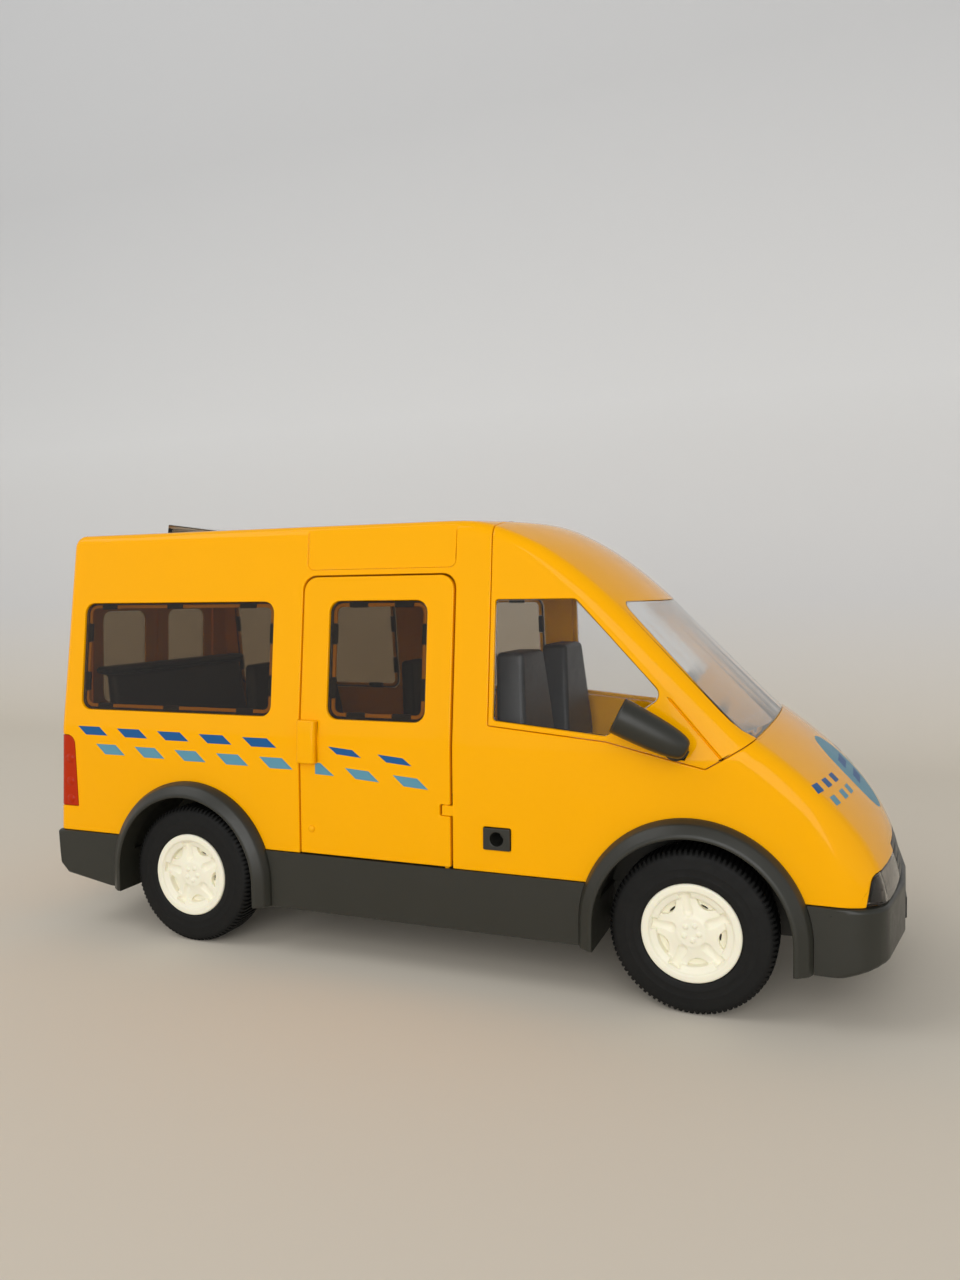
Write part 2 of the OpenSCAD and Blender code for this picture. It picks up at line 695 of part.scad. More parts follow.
module rear_bench() {
    cap_t = 3;
    bench_y = 42;
    seat(-134.5, -bench_y, bench_y, rear_back_z - cap_t, 1, -28, 28);
    color(dark) block([-142, -bench_y - 2, rear_back_z - cap_t - 0.05], [-133.5, bench_y + 2, rear_back_z]);
}
dash_side = [[74, 66], [79, 58.4], [104, 58.4], [104, 72], [82, 77]];
dash_hollow = [[81, 50], [101.5, 50], [101.5, 70], [83, 74.4], [77, 66]];
module dashboard() {
    color(dark) difference() {
        intersection() {
            along_y(dash_side, -60, 60);
            skin(wall + 0.6);
        }
        along_y(dash_hollow, -46, 46);
    }
}
module steering_column() {
    column_r = 2.6;
    color(dark) difference() {
        translate(steer_hub) rotate([0, steer_tilt, 0]) difference() {
            translate([0, 0, -12]) cylinder(r = column_r, h = 10);
            translate([0, 0, -8]) cylinder(r = steer_pin_r + fit, h = 12);
        }
        along_y(inset(dash_side, -seat_gap), 0, 60);
    }
}
module steering_wheel() {
    bar = 1.3;
    color(dark) translate(steer_hub) rotate([0, steer_tilt, 0]) {
        rotate_extrude() translate([steer_r, 0]) circle(r = bar, $fn = 32);
        for (a = [90, 210, 330]) rotate([0, 0, a]) block([0, -1.1, -0.9], [steer_r, 1.1, 0.9]);
        translate([0, 0, -1.5]) cylinder(r = 3.4, h = 3.2);
        translate([0, 0, -7]) cylinder(r = steer_pin_r, h = 7);
    }
}

// Wheelsets

module axle(x) {
    color("silver") translate([x, 0, axle_z]) round_y(axle_d / 2, -rim_face_y + 5, rim_face_y - 5);
}
// A rim with its outer face towards +Z before it is placed.
module rim_form() {
    r = rim_d / 2;
    deep = rim_face_y - rim_inner_y;
    difference() {
        union() {
            rotate_extrude() polygon([[0, -7], [7, -7], [7, -5], [r - 2, -5], [r - 2, -deep], [r, -deep], [r, 0],
                [r - 1.6, 0], [r - 2.2, -0.8], [r - 3, -0.8], [r - 4, -2.4], [4.2, -1.6], [3.4, -1.2], [0, -1.2]]);
            translate([0, 0, -deep]) cylinder(r = 4.2, h = deep - 6);
            for (k = [0 : spokes - 1]) rotate([0, 0, k * 360 / spokes])
                translate([2.6, 0, -2]) cylinder(r = 0.7, h = 1.4);
        }
        for (k = [0 : spokes - 1]) rotate([0, 0, (k + 0.5) * 360 / spokes])
            translate([0, 0, -20]) linear_extrude(40)
                polygon(rounded([[4.4, 0], [8.2, -2.6], [r - 4.2, -2.2], [r - 4.2, 2.2], [8.2, 2.6]],
                    [0.6, 1.2, 1, 1, 1.2]));
        translate([0, 0, -deep - 1]) cylinder(r = axle_d / 2, h = deep - 4);
    }
}
module rim(x, side) {
    color(ivory) translate([x, side * rim_face_y, axle_z]) rotate([side < 0 ? 90 : -90, 0, 0]) rim_form();
}
module tyre(x, side) {
    r0 = rim_d / 2;
    r1 = tyre_d / 2;
    in_y = rim_face_y - tyre_w;
    out_y = rim_face_y;
    color(black) translate([x, 0, axle_z]) mirror([0, side < 0 ? 1 : 0, 0]) rotate([-90, 0, 0]) rotate_extrude()
        polygon([[r0, in_y + 1], [r0 + 3, in_y], [r1 - 3, in_y + 0.4], [r1, in_y + 3], [r1, out_y - 1.8],
            [r1 - 1.5, out_y - 0.4], [r0 + 3, out_y], [r0, out_y - 0.6]]);
}

chassis();
sill(-1);  // sill_right
sill(1);  // sill_left
front_bumper();
rear_bumper();
front_plate();
arch_trim(front_axle_x, -1);  // arch_front_right
arch_trim(front_axle_x, 1);  // arch_front_left
arch_trim(rear_axle_x, -1);  // arch_rear_right
arch_trim(rear_axle_x, 1);  // arch_rear_left
shell_panel([rear_part_x, -90, roof_part_z], [200, 90, 200]);  // roof_panel
shell_panel([-200, -90, 0], [rear_part_x, 90, 200]);  // rear_frame
shell_panel([rear_part_x, 0, 0], [bonnet_part_x, 90, roof_part_z]);  // side_panel_left
shell_panel([rear_part_x, -90, 0], [door_part_x, 0, roof_part_z]);  // side_panel_rear_right
shell_panel([door_part_x, -90, 0], [bonnet_part_x, 0, roof_part_z]);  // side_panel_front_right
shell_panel([bonnet_part_x, -90, 0], [200, 90, roof_part_z]);  // bonnet
cab_roof();
windscreen();
cab_window(-1);  // cab_window_right
cab_window(1);  // cab_window_left
side_pane(rear_window_x, -1);  // rear_window_right
side_pane(rear_window_x, 1);  // rear_window_left
side_pane(middle_window_x, 1);  // middle_window_left
side_door();
side_pane(door_window_x, -1);  // side_door_window
rear_door(-1);  // rear_door_right
rear_door(1);  // rear_door_left
rear_door_window(-1);  // rear_door_window_right
rear_door_window(1);  // rear_door_window_left
roof_hatch();
door_mirror(-1);  // mirror_right
door_mirror(1);  // mirror_left
lamp(-1);  // headlight_right
lamp(1);  // headlight_left
grille();
tail_light(-1);  // tail_light_right
tail_light(1);  // tail_light_left
accessory_socket();
front_seat(-1);  // front_seat_right
front_seat(1);  // front_seat_left
single_seat();
double_seat();
rear_bench();
dashboard();
steering_column();
steering_wheel();
axle(front_axle_x);  // front_axle
axle(rear_axle_x);  // rear_axle
rim(front_axle_x, -1);  // rim_front_right
rim(front_axle_x, 1);  // rim_front_left
rim(rear_axle_x, -1);  // rim_rear_right
rim(rear_axle_x, 1);  // rim_rear_left
tyre(front_axle_x, -1);  // tyre_front_right
tyre(front_axle_x, 1);  // tyre_front_left
tyre(rear_axle_x, -1);  // tyre_rear_right
tyre(rear_axle_x, 1);  // tyre_rear_left
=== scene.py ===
"""Looks of a toy minibus: moulded body, tinted panes, wheels, seats, lamps and printed stripes."""

import logging
import math
from collections.abc import Callable, Iterator, Sequence
from contextlib import contextmanager
from dataclasses import dataclass
from enum import Enum

import bmesh
import bpy
from mathutils import Matrix, Vector


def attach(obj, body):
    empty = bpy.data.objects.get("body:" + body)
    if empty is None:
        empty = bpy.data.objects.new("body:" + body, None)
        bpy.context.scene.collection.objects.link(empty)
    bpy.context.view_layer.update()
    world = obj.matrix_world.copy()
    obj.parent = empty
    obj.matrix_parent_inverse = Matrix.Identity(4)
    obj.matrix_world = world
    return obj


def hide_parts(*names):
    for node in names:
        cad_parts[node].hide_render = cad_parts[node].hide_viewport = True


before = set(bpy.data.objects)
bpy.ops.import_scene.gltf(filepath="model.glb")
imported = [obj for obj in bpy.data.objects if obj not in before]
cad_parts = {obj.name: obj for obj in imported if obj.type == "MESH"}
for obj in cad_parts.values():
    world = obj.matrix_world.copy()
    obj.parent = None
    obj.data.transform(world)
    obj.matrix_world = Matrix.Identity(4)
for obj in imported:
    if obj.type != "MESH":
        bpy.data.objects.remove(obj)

log = logging.getLogger("minibus")

Point = tuple[float, float]
Place = tuple[float, float, float]
Colour = tuple[float, float, float]

MM = 0.001
MERGE = 0.01 * MM
WELD = 5 * MERGE
AXLES: Point = (-89.4, 92.6)
AXLE_Z = 25.0
DOOR_HINGE: Point = (12.8, -53.2)
REAR_HINGE_Y = 37.1
CURVED_FLAT = 0.02
TWO_CLIPS: Sequence[float] = (0.28, 0.75)
THREE_CLIPS: Sequence[float] = (0.12, 0.48, 0.86)


class Side(Enum):
    """The vehicle's right and left, by the sign of Y."""

    RIGHT = -1
    LEFT = 1

    @property
    def word(self) -> str:
        """The side's name in node names."""
        return self.name.lower()

    def span(self, near: float, far: float) -> Point:
        """Gives a stretch of Y on this side, between two distances off the middle, lowest end first."""
        low, high = sorted((self.value * near, self.value * far))
        return low, high


class Axis(Enum):
    """A row axis that an outline is drawn out along, with the row axes of its own two coordinates."""

    X = (0, 1, 2)
    Y = (1, 0, 2)
    Z = (2, 0, 1)

    def place(self, point: Point, along: float) -> Vector:
        """Gives the place in metres of an outline's point.

        Args:
            point: The outline's two coordinates, in millimetres.
            along: The place along this axis, in millimetres.

        Returns:
            The point in the row frame, in metres.
        """
        out = Vector((0.0, 0.0, 0.0))
        out[self.value[0]] = along * MM
        out[self.value[1]] = point[0] * MM
        out[self.value[2]] = point[1] * MM
        return out


# Outlines


def blend_curve(start: Point, pull: Point, end: Point, steps: int) -> list[Point]:
    """Gives points of a quadratic curve.

    Args:
        start: First point.
        pull: Point that the curve is drawn towards.
        end: Last point.
        steps: Number of stretches between the points.

    Returns:
        The curve's points, ends included.
    """
    points = []
    for i in range(steps + 1):
        t = i / steps
        weights = ((1 - t) ** 2, 2 * t * (1 - t), t * t)
        pairs = list(zip(weights, (start, pull, end)))
        points.append(tuple(sum(w * p[k] for w, p in pairs) for k in (0, 1)))
    return points


def inset(points: Sequence[Point], depth: float | Sequence[float]) -> list[Point]:
    """Moves a closed counter-clockwise outline inwards.

    Args:
        points: The outline.
        depth: Distance inwards, or one for each point; negative moves it outwards.

    Returns:
        The moved outline, with the same number of points.
    """
    moved = []
    count = len(points)
    for i in range(count):
        reach = depth if isinstance(depth, (int, float)) else depth[i]
        before = Vector(points[i]) - Vector(points[i - 1])
        after = Vector(points[(i + 1) % count]) - Vector(points[i])
        a = Vector((-before.y, before.x)).normalized()
        b = Vector((-after.y, after.x)).normalized()
        shift = reach * (a + b) / (1 + a.dot(b))
        moved.append((points[i][0] + shift.x, points[i][1] + shift.y))
    return moved


def rounded(points: Sequence[Point], radii: float | Sequence[float], steps: int = 6) -> list[Point]:
    """Rounds the corners of a closed outline.

    Args:
        points: The outline.
        radii: One radius, or one for each corner; 0 keeps a corner sharp.
        steps: Stretches of each round corner.

    Returns:
        The outline with arcs at its corners.
    """
    out: list[Point] = []
    count = len(points)
    for i in range(count):
        radius = radii if isinstance(radii, (int, float)) else radii[i]
        corner = Vector(points[i])
        if radius <= 0:
            out.append(points[i])
            continue
        u = (Vector(points[i - 1]) - corner).normalized()
        v = (Vector(points[(i + 1) % count]) - corner).normalized()
        half = math.acos(max(-1.0, min(1.0, u.dot(v)))) / 2
        centre = corner + (u + v).normalized() * radius / math.sin(half)
        first = corner + u * radius / math.tan(half) - centre
        last = corner + v * radius / math.tan(half) - centre
        start = math.atan2(first.y, first.x)
        sweep = (math.atan2(last.y, last.x) - start + math.pi) % (2 * math.pi) - math.pi
        for k in range(steps + 1):
            angle = start + sweep * k / steps
            out.append((centre.x + radius * math.cos(angle), centre.y + radius * math.sin(angle)))
    return out


def oblong(low: Point, high: Point) -> list[Point]:
    """Gives the four corners of a rectangle, counter-clockwise from its lowest one."""
    return [low, (high[0], low[1]), high, (low[0], high[1])]


def circle(centre: Point, radius: float, steps: int) -> list[Point]:
    """Gives the points of a circle, counter-clockwise."""
    turn = 2 * math.pi / steps
    points = []
    for i in range(steps):
        points.append((centre[0] + radius * math.cos(i * turn), centre[1] + radius * math.sin(i * turn)))
    return points


# Modelling bench


def ease(low: float, high: float, value: float) -> float:
    """Rises smoothly from 0 at low to 1 at high."""
    t = max(0.0, min(1.0, (value - low) / (high - low)))
    return t * t * (3 - 2 * t)


def named(piece: bpy.types.Object, name: str) -> bpy.types.Object:
    """Gives an object and its mesh one name."""
    piece.name = name
    piece.data.name = name
    return piece


def activate(piece: bpy.types.Object) -> None:
    """Makes one object the only selected one, and the active one."""
    bpy.ops.object.select_all(action="DESELECT")
    piece.select_set(True)
    bpy.context.view_layer.objects.active = piece


@contextmanager
def editing(piece: bpy.types.Object) -> Iterator[bmesh.types.BMesh]:
    """Opens a piece in edit mode with everything in it selected.

    Args:
        piece: The mesh object.

    Yields:
        Its edit mesh, whose selection the operators act on.
    """
    activate(piece)
    bpy.ops.object.mode_set(mode="EDIT")
    bpy.ops.mesh.select_mode(type="VERT")
    bpy.ops.mesh.select_all(action="SELECT")
    yield bmesh.from_edit_mesh(piece.data)
    bpy.ops.object.mode_set(mode="OBJECT")


def faces_out() -> None:
    """Turns all faces of the piece in edit mode outwards."""
    bpy.ops.mesh.select_all(action="SELECT")
    bpy.ops.mesh.normals_make_consistent(inside=False)


def modify(piece: bpy.types.Object, kind: str, **settings: object) -> None:
    """Adds a modifier to a piece and applies it.

    Args:
        piece: The mesh object.
        kind: The modifier's type.
        **settings: The modifier's properties.
    """
    activate(piece)
    modifier = piece.modifiers.new(kind.title(), kind)
    for key, value in settings.items():
        setattr(modifier, key, value)
    bpy.ops.object.modifier_apply(modifier=modifier.name)


def drop(*pieces: bpy.types.Object) -> None:
    """Deletes scratch objects and their meshes."""
    for piece in pieces:
        mesh = piece.data
        bpy.data.objects.remove(piece)
        bpy.data.meshes.remove(mesh)


def twin(piece: bpy.types.Object, name: str) -> bpy.types.Object:
    """Copies a piece with its own mesh.

    Args:
        piece: The object to copy.
        name: The copy's name.

    Returns:
        The new object.
    """
    copy = piece.copy()
    copy.data = piece.data.copy()
    bpy.context.scene.collection.objects.link(copy)
    return named(copy, name)


def cut(piece: bpy.types.Object, tool: bpy.types.Object, operation: str = "DIFFERENCE") -> None:
    """Cuts a piece with a tool and deletes the tool.

    Args:
        piece: The closed mesh that is cut.
        tool: A closed mesh.
        operation: DIFFERENCE, INTERSECT or UNION.
    """
    modify(piece, "BOOLEAN", object=tool, operation=operation, solver="EXACT")
    drop(tool)


def join(pieces: Sequence[bpy.types.Object], name: str) -> bpy.types.Object:
    """Joins pieces into the first one.

    Args:
        pieces: The objects to join.
        name: The joined object's name.

    Returns:
        The joined object.
    """
    activate(pieces[0])
    for piece in pieces[1:]:
        piece.select_set(True)
    if len(pieces) > 1:
        bpy.ops.object.join()
    return named(pieces[0], name)


def prism(name: str, outline: Sequence[Point], axis: Axis, low: float, high: float) -> bpy.types.Object:
    """Draws an outline out along an axis.

    Args:
        name: The piece's name.
        outline: The closed outline, in millimetres.
        axis: The axis that it is drawn along.
        low: Start along the axis, in millimetres.
        high: End along the axis, in millimetres.

    Returns:
        The closed solid.
    """
    bpy.ops.object.select_all(action="DESELECT")
    bpy.ops.mesh.primitive_circle_add(vertices=len(outline), radius=MM, fill_type="NGON")
    piece = named(bpy.context.object, name)
    for vertex, point in zip(piece.data.vertices, outline):
        vertex.co = axis.place(point, low)
    with editing(piece):
        bpy.ops.mesh.extrude_region_move(
            TRANSFORM_OT_translate={"value": axis.place((0, 0), high) - axis.place((0, 0), low)})
        faces_out()
    return piece


def sheet(name: str, rows: Sequence[Sequence[Vector]]) -> bpy.types.Object:
    """Lays a sheet of faces through rows of points.

    Args:
        name: The piece's name.
        rows: Rows with the same number of points, in metres.

    Returns:
        The open sheet.
    """
    along, across = len(rows) - 1, len(rows[0]) - 1
    bpy.ops.object.select_all(action="DESELECT")
    bpy.ops.mesh.primitive_grid_add(x_subdivisions=along, y_subdivisions=across, size=2.0)
    piece = named(bpy.context.object, name)
    for vertex in piece.data.vertices:
        i, j = round((vertex.co.x + 1) / 2 * along), round((vertex.co.y + 1) / 2 * across)
        vertex.co = rows[i][j]
    return piece


def block(name: str, low: Sequence[float], high: Sequence[float]) -> bpy.types.Object:
    """Makes a box between two corners, in millimetres, as the start of a piece or a cutting tool."""
    return prism(name, oblong((low[0], low[1]), (high[0], high[1])), Axis.Z, low[2], high[2])


def drum(name: str, centre: Sequence[float], radius: float, axis: Axis, length: float,
         steps: int = 64) -> bpy.types.Object:
    """Makes a cylinder from its base centre along an axis.

    Args:
        name: The piece's name.
        centre: Middle of the base, in millimetres.
        radius: Radius, in millimetres.
        axis: The cylinder's axis.
        length: Its length, in millimetres.
        steps: Number of sides.

    Returns:
        The closed solid.
    """
    along, first, second = (centre[k] for k in axis.value)
    return prism(name, circle((first, second), radius, steps), axis, along, along + length)


def lathe(name: str, outline: Sequence[Point], centre: Sequence[float], steps: int) -> bpy.types.Object:
    """Spins a closed outline round a line along Y.

    Args:
        name: The piece's name.
        outline: Points (radius, place along Y from the centre), in millimetres.
        centre: A point of the axis, in millimetres.
        steps: Stretches of the full turn.

    Returns:
        The closed solid of revolution.
    """
    bpy.ops.object.select_all(action="DESELECT")
    bpy.ops.mesh.primitive_circle_add(vertices=len(outline), radius=MM, fill_type="NOTHING")
    piece = named(bpy.context.object, name)
    for vertex, (radius, along) in zip(piece.data.vertices, outline):
        vertex.co = Vector((centre[0] + radius, centre[1] + along, centre[2])) * MM
    with editing(piece):
        bpy.ops.mesh.spin(steps=steps, angle=2 * math.pi, center=Vector(centre) * MM, axis=(0, 1, 0),
                          use_auto_merge=True)
        bpy.ops.mesh.select_all(action="SELECT")
        bpy.ops.mesh.remove_doubles(threshold=MERGE)
        faces_out()
    return piece


def clean(piece: bpy.types.Object, flat: float = 0.1) -> None:
    """Merges doubles and joins faces that lie in one plane.

    Args:
        piece: The mesh object.
        flat: Largest angle between joined faces, in degrees.
    """
    with editing(piece):
        bpy.ops.mesh.remove_doubles(threshold=MERGE)
        bpy.ops.mesh.dissolve_limited(angle_limit=math.radians(flat))
        bpy.ops.mesh.select_all(action="SELECT")
        bpy.ops.mesh.remove_doubles(threshold=WELD)


def soften(piece: bpy.types.Object, width: float, steps: int = 2, angle: float = 38.0) -> None:
    """Rounds a piece's edges.

    Args:
        piece: The mesh object.
        width: Width of the rounding, in millimetres.
        steps: Stretches of the rounding.
        angle: Least angle of an edge that is rounded, in degrees.
    """
    modify(piece, "BEVEL", width=width * MM, segments=steps, limit_method="ANGLE",
           angle_limit=math.radians(angle), use_clamp_overlap=False, miter_outer="MITER_ARC")
    shade(piece)


def shade(piece: bpy.types.Object, angle: float = 32.0) -> None:
    """Shades a piece smooth across shallow edges, with flat faces kept flat."""
    activate(piece)
    bpy.ops.object.shade_smooth_by_angle(angle=math.radians(angle), keep_sharp_edges=True)
    modify(piece, "WEIGHTED_NORMAL", weight=50, keep_sharp=True)


def copy_node(node: str, name: str, flat: float = 0.3) -> bpy.types.Object:
    """Copies a construction node's mesh into a new piece with clean faces.

    Args:
        node: The node's name.
        name: The new piece's name.
        flat: Largest angle between faces that are joined, in degrees.

    Returns:
        The new piece.
    """
    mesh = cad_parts[node].data.copy()
    mesh.materials.clear()
    mesh.name = name
    piece = bpy.data.objects.new(name, mesh)
    bpy.context.scene.collection.objects.link(piece)
    if mesh.has_custom_normals:
        activate(piece)
        bpy.ops.mesh.customdata_custom_splitnormals_clear()
    with editing(piece):
        bpy.ops.mesh.mark_sharp(clear=True)
        bpy.ops.mesh.remove_doubles(threshold=MERGE)
        bpy.ops.mesh.dissolve_limited(angle_limit=math.radians(flat))
    return piece


# Finishes


class Nodes:
    """A shader tree with short calls to add and join its nodes."""

    def __init__(self, tree: bpy.types.NodeTree) -> None:
        """Keeps the tree.

        Args:
            tree: A material's or a group's node tree.
        """
        self.tree = tree

    def add(self, kind: str, **settings: object) -> bpy.types.Node:
        """Adds a node.

        Args:
            kind: The node's type name without its ShaderNode prefix.
            **settings: Properties, or values of inputs that are named with capitals and underscores.

        Returns:
            The new node.
        """
        node = self.tree.nodes.new("ShaderNode" + kind)
        for key, value in settings.items():
            label = key.replace("_", " ")
            if label in node.inputs:
                node.inputs[label].default_value = value
            else:
                setattr(node, key, value)
        return node

    def link(self, source: bpy.types.NodeSocket, target: bpy.types.NodeSocket) -> None:
        """Joins an output to an input."""
        self.tree.links.new(source, target)


def moulded_group() -> bpy.types.NodeTree:
    """Builds the surface effect of moulded plastic, once.

    Returns:
        A group that puts out a mottled colour, a handled roughness and a fine grain height.
    """
    name = "Moulded surface"
    if name in bpy.data.node_groups:
        return bpy.data.node_groups[name]
    group = bpy.data.node_groups.new(name, "ShaderNodeTree")
    tint, number = "NodeSocketColor", "NodeSocketFloat"
    taken = {"Color": tint, "Mottle": number, "Grain Scale": number, "Roughness": number, "Handling": number}
    put_out = {"Color": tint, "Roughness": number, "Height": number}
    for way, sockets in (("INPUT", taken), ("OUTPUT", put_out)):
        for label, kind in sockets.items():
            group.interface.new_socket(label, in_out=way, socket_type=kind)
    nodes = Nodes(group)
    given = group.nodes.new("NodeGroupInput")
    out = group.nodes.new("NodeGroupOutput")
    place = nodes.add("TexCoord")
    cloud = nodes.add("TexNoise", Scale=55.0, Detail=3.0, Roughness=0.55)
    grain = nodes.add("TexNoise", Detail=2.0, Roughness=0.6)
    swirl = nodes.add("TexNoise", Scale=140.0, Detail=4.0, Roughness=0.7, Distortion=1.6)
    for texture in (cloud, grain, swirl):
        nodes.link(place.outputs["Object"], texture.inputs["Vector"])
    nodes.link(given.outputs["Grain Scale"], grain.inputs["Scale"])
    centred = nodes.add("Math", operation="SUBTRACT")
    centred.inputs[1].default_value = 0.5
    nodes.link(cloud.outputs["Fac"], centred.inputs[0])
    amount = nodes.add("Math", operation="MULTIPLY_ADD")
    amount.inputs[2].default_value = 1.0
    nodes.link(centred.outputs[0], amount.inputs[0])
    nodes.link(given.outputs["Mottle"], amount.inputs[1])
    tone = nodes.add("VectorMath", operation="SCALE")
    nodes.link(given.outputs["Color"], tone.inputs[0])
    nodes.link(amount.outputs[0], tone.inputs["Scale"])
    nodes.link(tone.outputs[0], out.inputs["Color"])
    rub = nodes.add("MapRange", From_Min=0.35, From_Max=0.75, To_Min=0.0, To_Max=1.0)
    nodes.link(swirl.outputs["Fac"], rub.inputs["Value"])
    worn = nodes.add("Math", operation="MULTIPLY_ADD")
    nodes.link(rub.outputs[0], worn.inputs[0])
    nodes.link(given.outputs["Handling"], worn.inputs[1])
    nodes.link(given.outputs["Roughness"], worn.inputs[2])
    nodes.link(worn.outputs[0], out.inputs["Roughness"])
    nodes.link(grain.outputs["Fac"], out.inputs["Height"])
    return group


@dataclass(frozen=True)
class Surface:
    """What the vehicle's finishes share: a slightly mottled colour, and a gloss that handling wears."""

    name: str
    slot: str
    colour: Colour
    roughness: float
    handling: float = 0.08
    mottle: float = 0.08
    shown_alpha: float = 1.0

    def material(self) -> bpy.types.Material:
        """Builds the material, once.

        Returns:
            The finish as a Blender material.
        """
        if self.name in bpy.data.materials:
            return bpy.data.materials[self.name]
        made = bpy.data.materials.new(self.name)
        made.use_nodes = True
        made.diffuse_color = (*self.colour, self.shown_alpha)
        nodes = Nodes(made.node_tree)
        shader = made.node_tree.nodes["Principled BSDF"]
        effect = nodes.add("Group", node_tree=moulded_group())
        effect.inputs["Color"].default_value = (*self.colour, 1.0)
        effect.inputs["Mottle"].default_value = self.mottle
        effect.inputs["Roughness"].default_value = self.roughness
        effect.inputs["Handling"].default_value = self.handling
        nodes.link(effect.outputs["Color"], shader.inputs["Base Color"])
        nodes.link(effect.outputs["Roughness"], shader.inputs["Roughness"])
        self.refine(nodes, shader, effect)
        return made

    def refine(self, nodes: Nodes, shader: bpy.types.Node, effect: bpy.types.Node) -> None:
        """Adds what sets one kind of finish apart.

        Args:
            nodes: The material's tree.
            shader: Its principled shader.
            effect: Its moulded surface effect.
        """


@dataclass(frozen=True)
class Moulded(Surface):
    """Opaque moulded plastic or rubber, with fine grain and perhaps a coat."""

    grain_scale: float = 2600.0
    grain_height: float = 0.02
    grain_strength: float = 0.35
    specular: float = 0.5
    coat: float = 0.0
    coat_roughness: float = 0.08
    coat_ior: float = 1.5
    sheen_through: float = 0.0
    sheen_radius: Colour = (1.0, 0.5, 0.1)
    sheen_depth: float = 0.8

    def refine(self, nodes: Nodes, shader: bpy.types.Node, effect: bpy.types.Node) -> None:
        """Adds the grain, the coat and the light that shines through."""
        effect.inputs["Grain Scale"].default_value = self.grain_scale
        bump = nodes.add("Bump", Strength=self.grain_strength, Distance=self.grain_height * MM)
        nodes.link(effect.outputs["Height"], bump.inputs["Height"])
        nodes.link(bump.outputs["Normal"], shader.inputs["Normal"])
        shader.inputs["Specular IOR Level"].default_value = self.specular
        shader.inputs["Coat Weight"].default_value = self.coat
        shader.inputs["Coat Roughness"].default_value = self.coat_roughness
        shader.inputs["Coat IOR"].default_value = self.coat_ior
        if self.sheen_through > 0:
            shader.inputs["Subsurface Weight"].default_value = self.sheen_through
            shader.inputs["Subsurface Radius"].default_value = self.sheen_radius
            shader.inputs["Subsurface Scale"].default_value = self.sheen_depth * MM


@dataclass(frozen=True)
class Pane(Surface):
    """See-through plastic, tinted or clear, that lets light pass to what is behind it."""

    roughness: float = 0.03
    handling: float = 0.05
    mottle: float = 0.05
    shown_alpha: float = 0.4
    ior: float = 1.46

    def refine(self, nodes: Nodes, shader: bpy.types.Node, effect: bpy.types.Node) -> None:
        """Makes the shader see-through, and open to the rays that cast shadows."""
        shader.inputs["Transmission Weight"].default_value = 1.0
        shader.inputs["IOR"].default_value = self.ior
        rays = nodes.add("LightPath")
        open_to_light = nodes.add("BsdfTransparent")
        open_to_light.inputs["Color"].default_value = (*self.colour, 1.0)
        mix = nodes.add("MixShader")
        nodes.link(rays.outputs["Is Shadow Ray"], mix.inputs["Fac"])
        nodes.link(shader.outputs["BSDF"], mix.inputs[1])
        nodes.link(open_to_light.outputs["BSDF"], mix.inputs[2])
        nodes.link(mix.outputs["Shader"], nodes.tree.nodes["Material Output"].inputs["Surface"])


@dataclass(frozen=True)
class Metal(Surface):
    """Bare or bright-plated metal."""

    handling: float = 0.12
    mottle: float = 0.1

    def refine(self, nodes: Nodes, shader: bpy.types.Node, effect: bpy.types.Node) -> None:
        """Makes the shader metallic."""
        shader.inputs["Metallic"].default_value = 1.0


@dataclass(frozen=True)
class Paper:
    """Matt backdrop paper whose pale colour carries painted light and shade: it changes with height above
    the floor, darker towards the top.
    """

    name: str
    tones: Sequence[tuple[float, Colour]]

    def material(self) -> bpy.types.Material:
        """Builds the material.

        Returns:
            The finish as a Blender material.
        """
        made = bpy.data.materials.new(self.name)
        made.use_nodes = True
        nodes = Nodes(made.node_tree)
        shader = made.node_tree.nodes["Principled BSDF"]
        shader.inputs["Roughness"].default_value = 0.9
        shader.inputs["Specular IOR Level"].default_value = 0.1
        place = nodes.add("TexCoord")
        split = nodes.add("SeparateXYZ")
        top = self.tones[-1][0]
        share = nodes.add("MapRange", From_Max=top * MM)
        # The ramp paints the light and shade by height into the paper's colour.
        ramp = nodes.add("ValToRGB")
        stops = ramp.color_ramp.elements
        while len(stops) < len(self.tones):
            stops.new(1.0)
        for stop, (height, colour) in zip(stops, self.tones):
            stop.position = height / top
            stop.color = (*colour, 1.0)
        nodes.link(place.outputs["Object"], split.inputs[0])
        nodes.link(split.outputs["Z"], share.inputs["Value"])
        nodes.link(share.outputs[0], ramp.inputs["Fac"])
        nodes.link(ramp.outputs["Color"], shader.inputs["Base Color"])
        return made


Finish = Moulded | Pane | Metal | Paper

YELLOW = Moulded("yellow moulding", "body_yellow", (0.97, 0.43, 0.0), 0.32, handling=0.03, mottle=0.03,
                 grain_height=0.001, specular=0.0, coat=1.0, coat_roughness=0.07, coat_ior=1.23)
GREY = Moulded("grey trim", "trim_grey", (0.023, 0.023, 0.017), 0.34, handling=0.1, mottle=0.12,
               specular=0.45)
SEAT_GREY = Moulded("seat grey", "interior_grey", (0.016, 0.0155, 0.0135), 0.45, handling=0.1, mottle=0.12,
                    specular=0.4)
PLATE = Moulded("blank plate", "plate_black", (0.012, 0.012, 0.012), 0.4)
IVORY = Moulded("ivory rim", "rim_ivory", (0.92, 0.88, 0.71), 0.36, handling=0.08, mottle=0.05,
                sheen_through=0.08)
RUBBER = Moulded("tyre rubber", "tyre_black", (0.006, 0.006, 0.0055), 0.6, handling=0.14, mottle=0.3,
                 grain_scale=1500.0, grain_height=0.05, specular=0.25)
TINTED = Pane("tinted pane", "tinted_pane", (0.42, 0.355, 0.27), ior=1.3)
TINTED_RIM = Moulded("tinted clip", "tinted_pane", (0.02, 0.014, 0.01), 0.3)
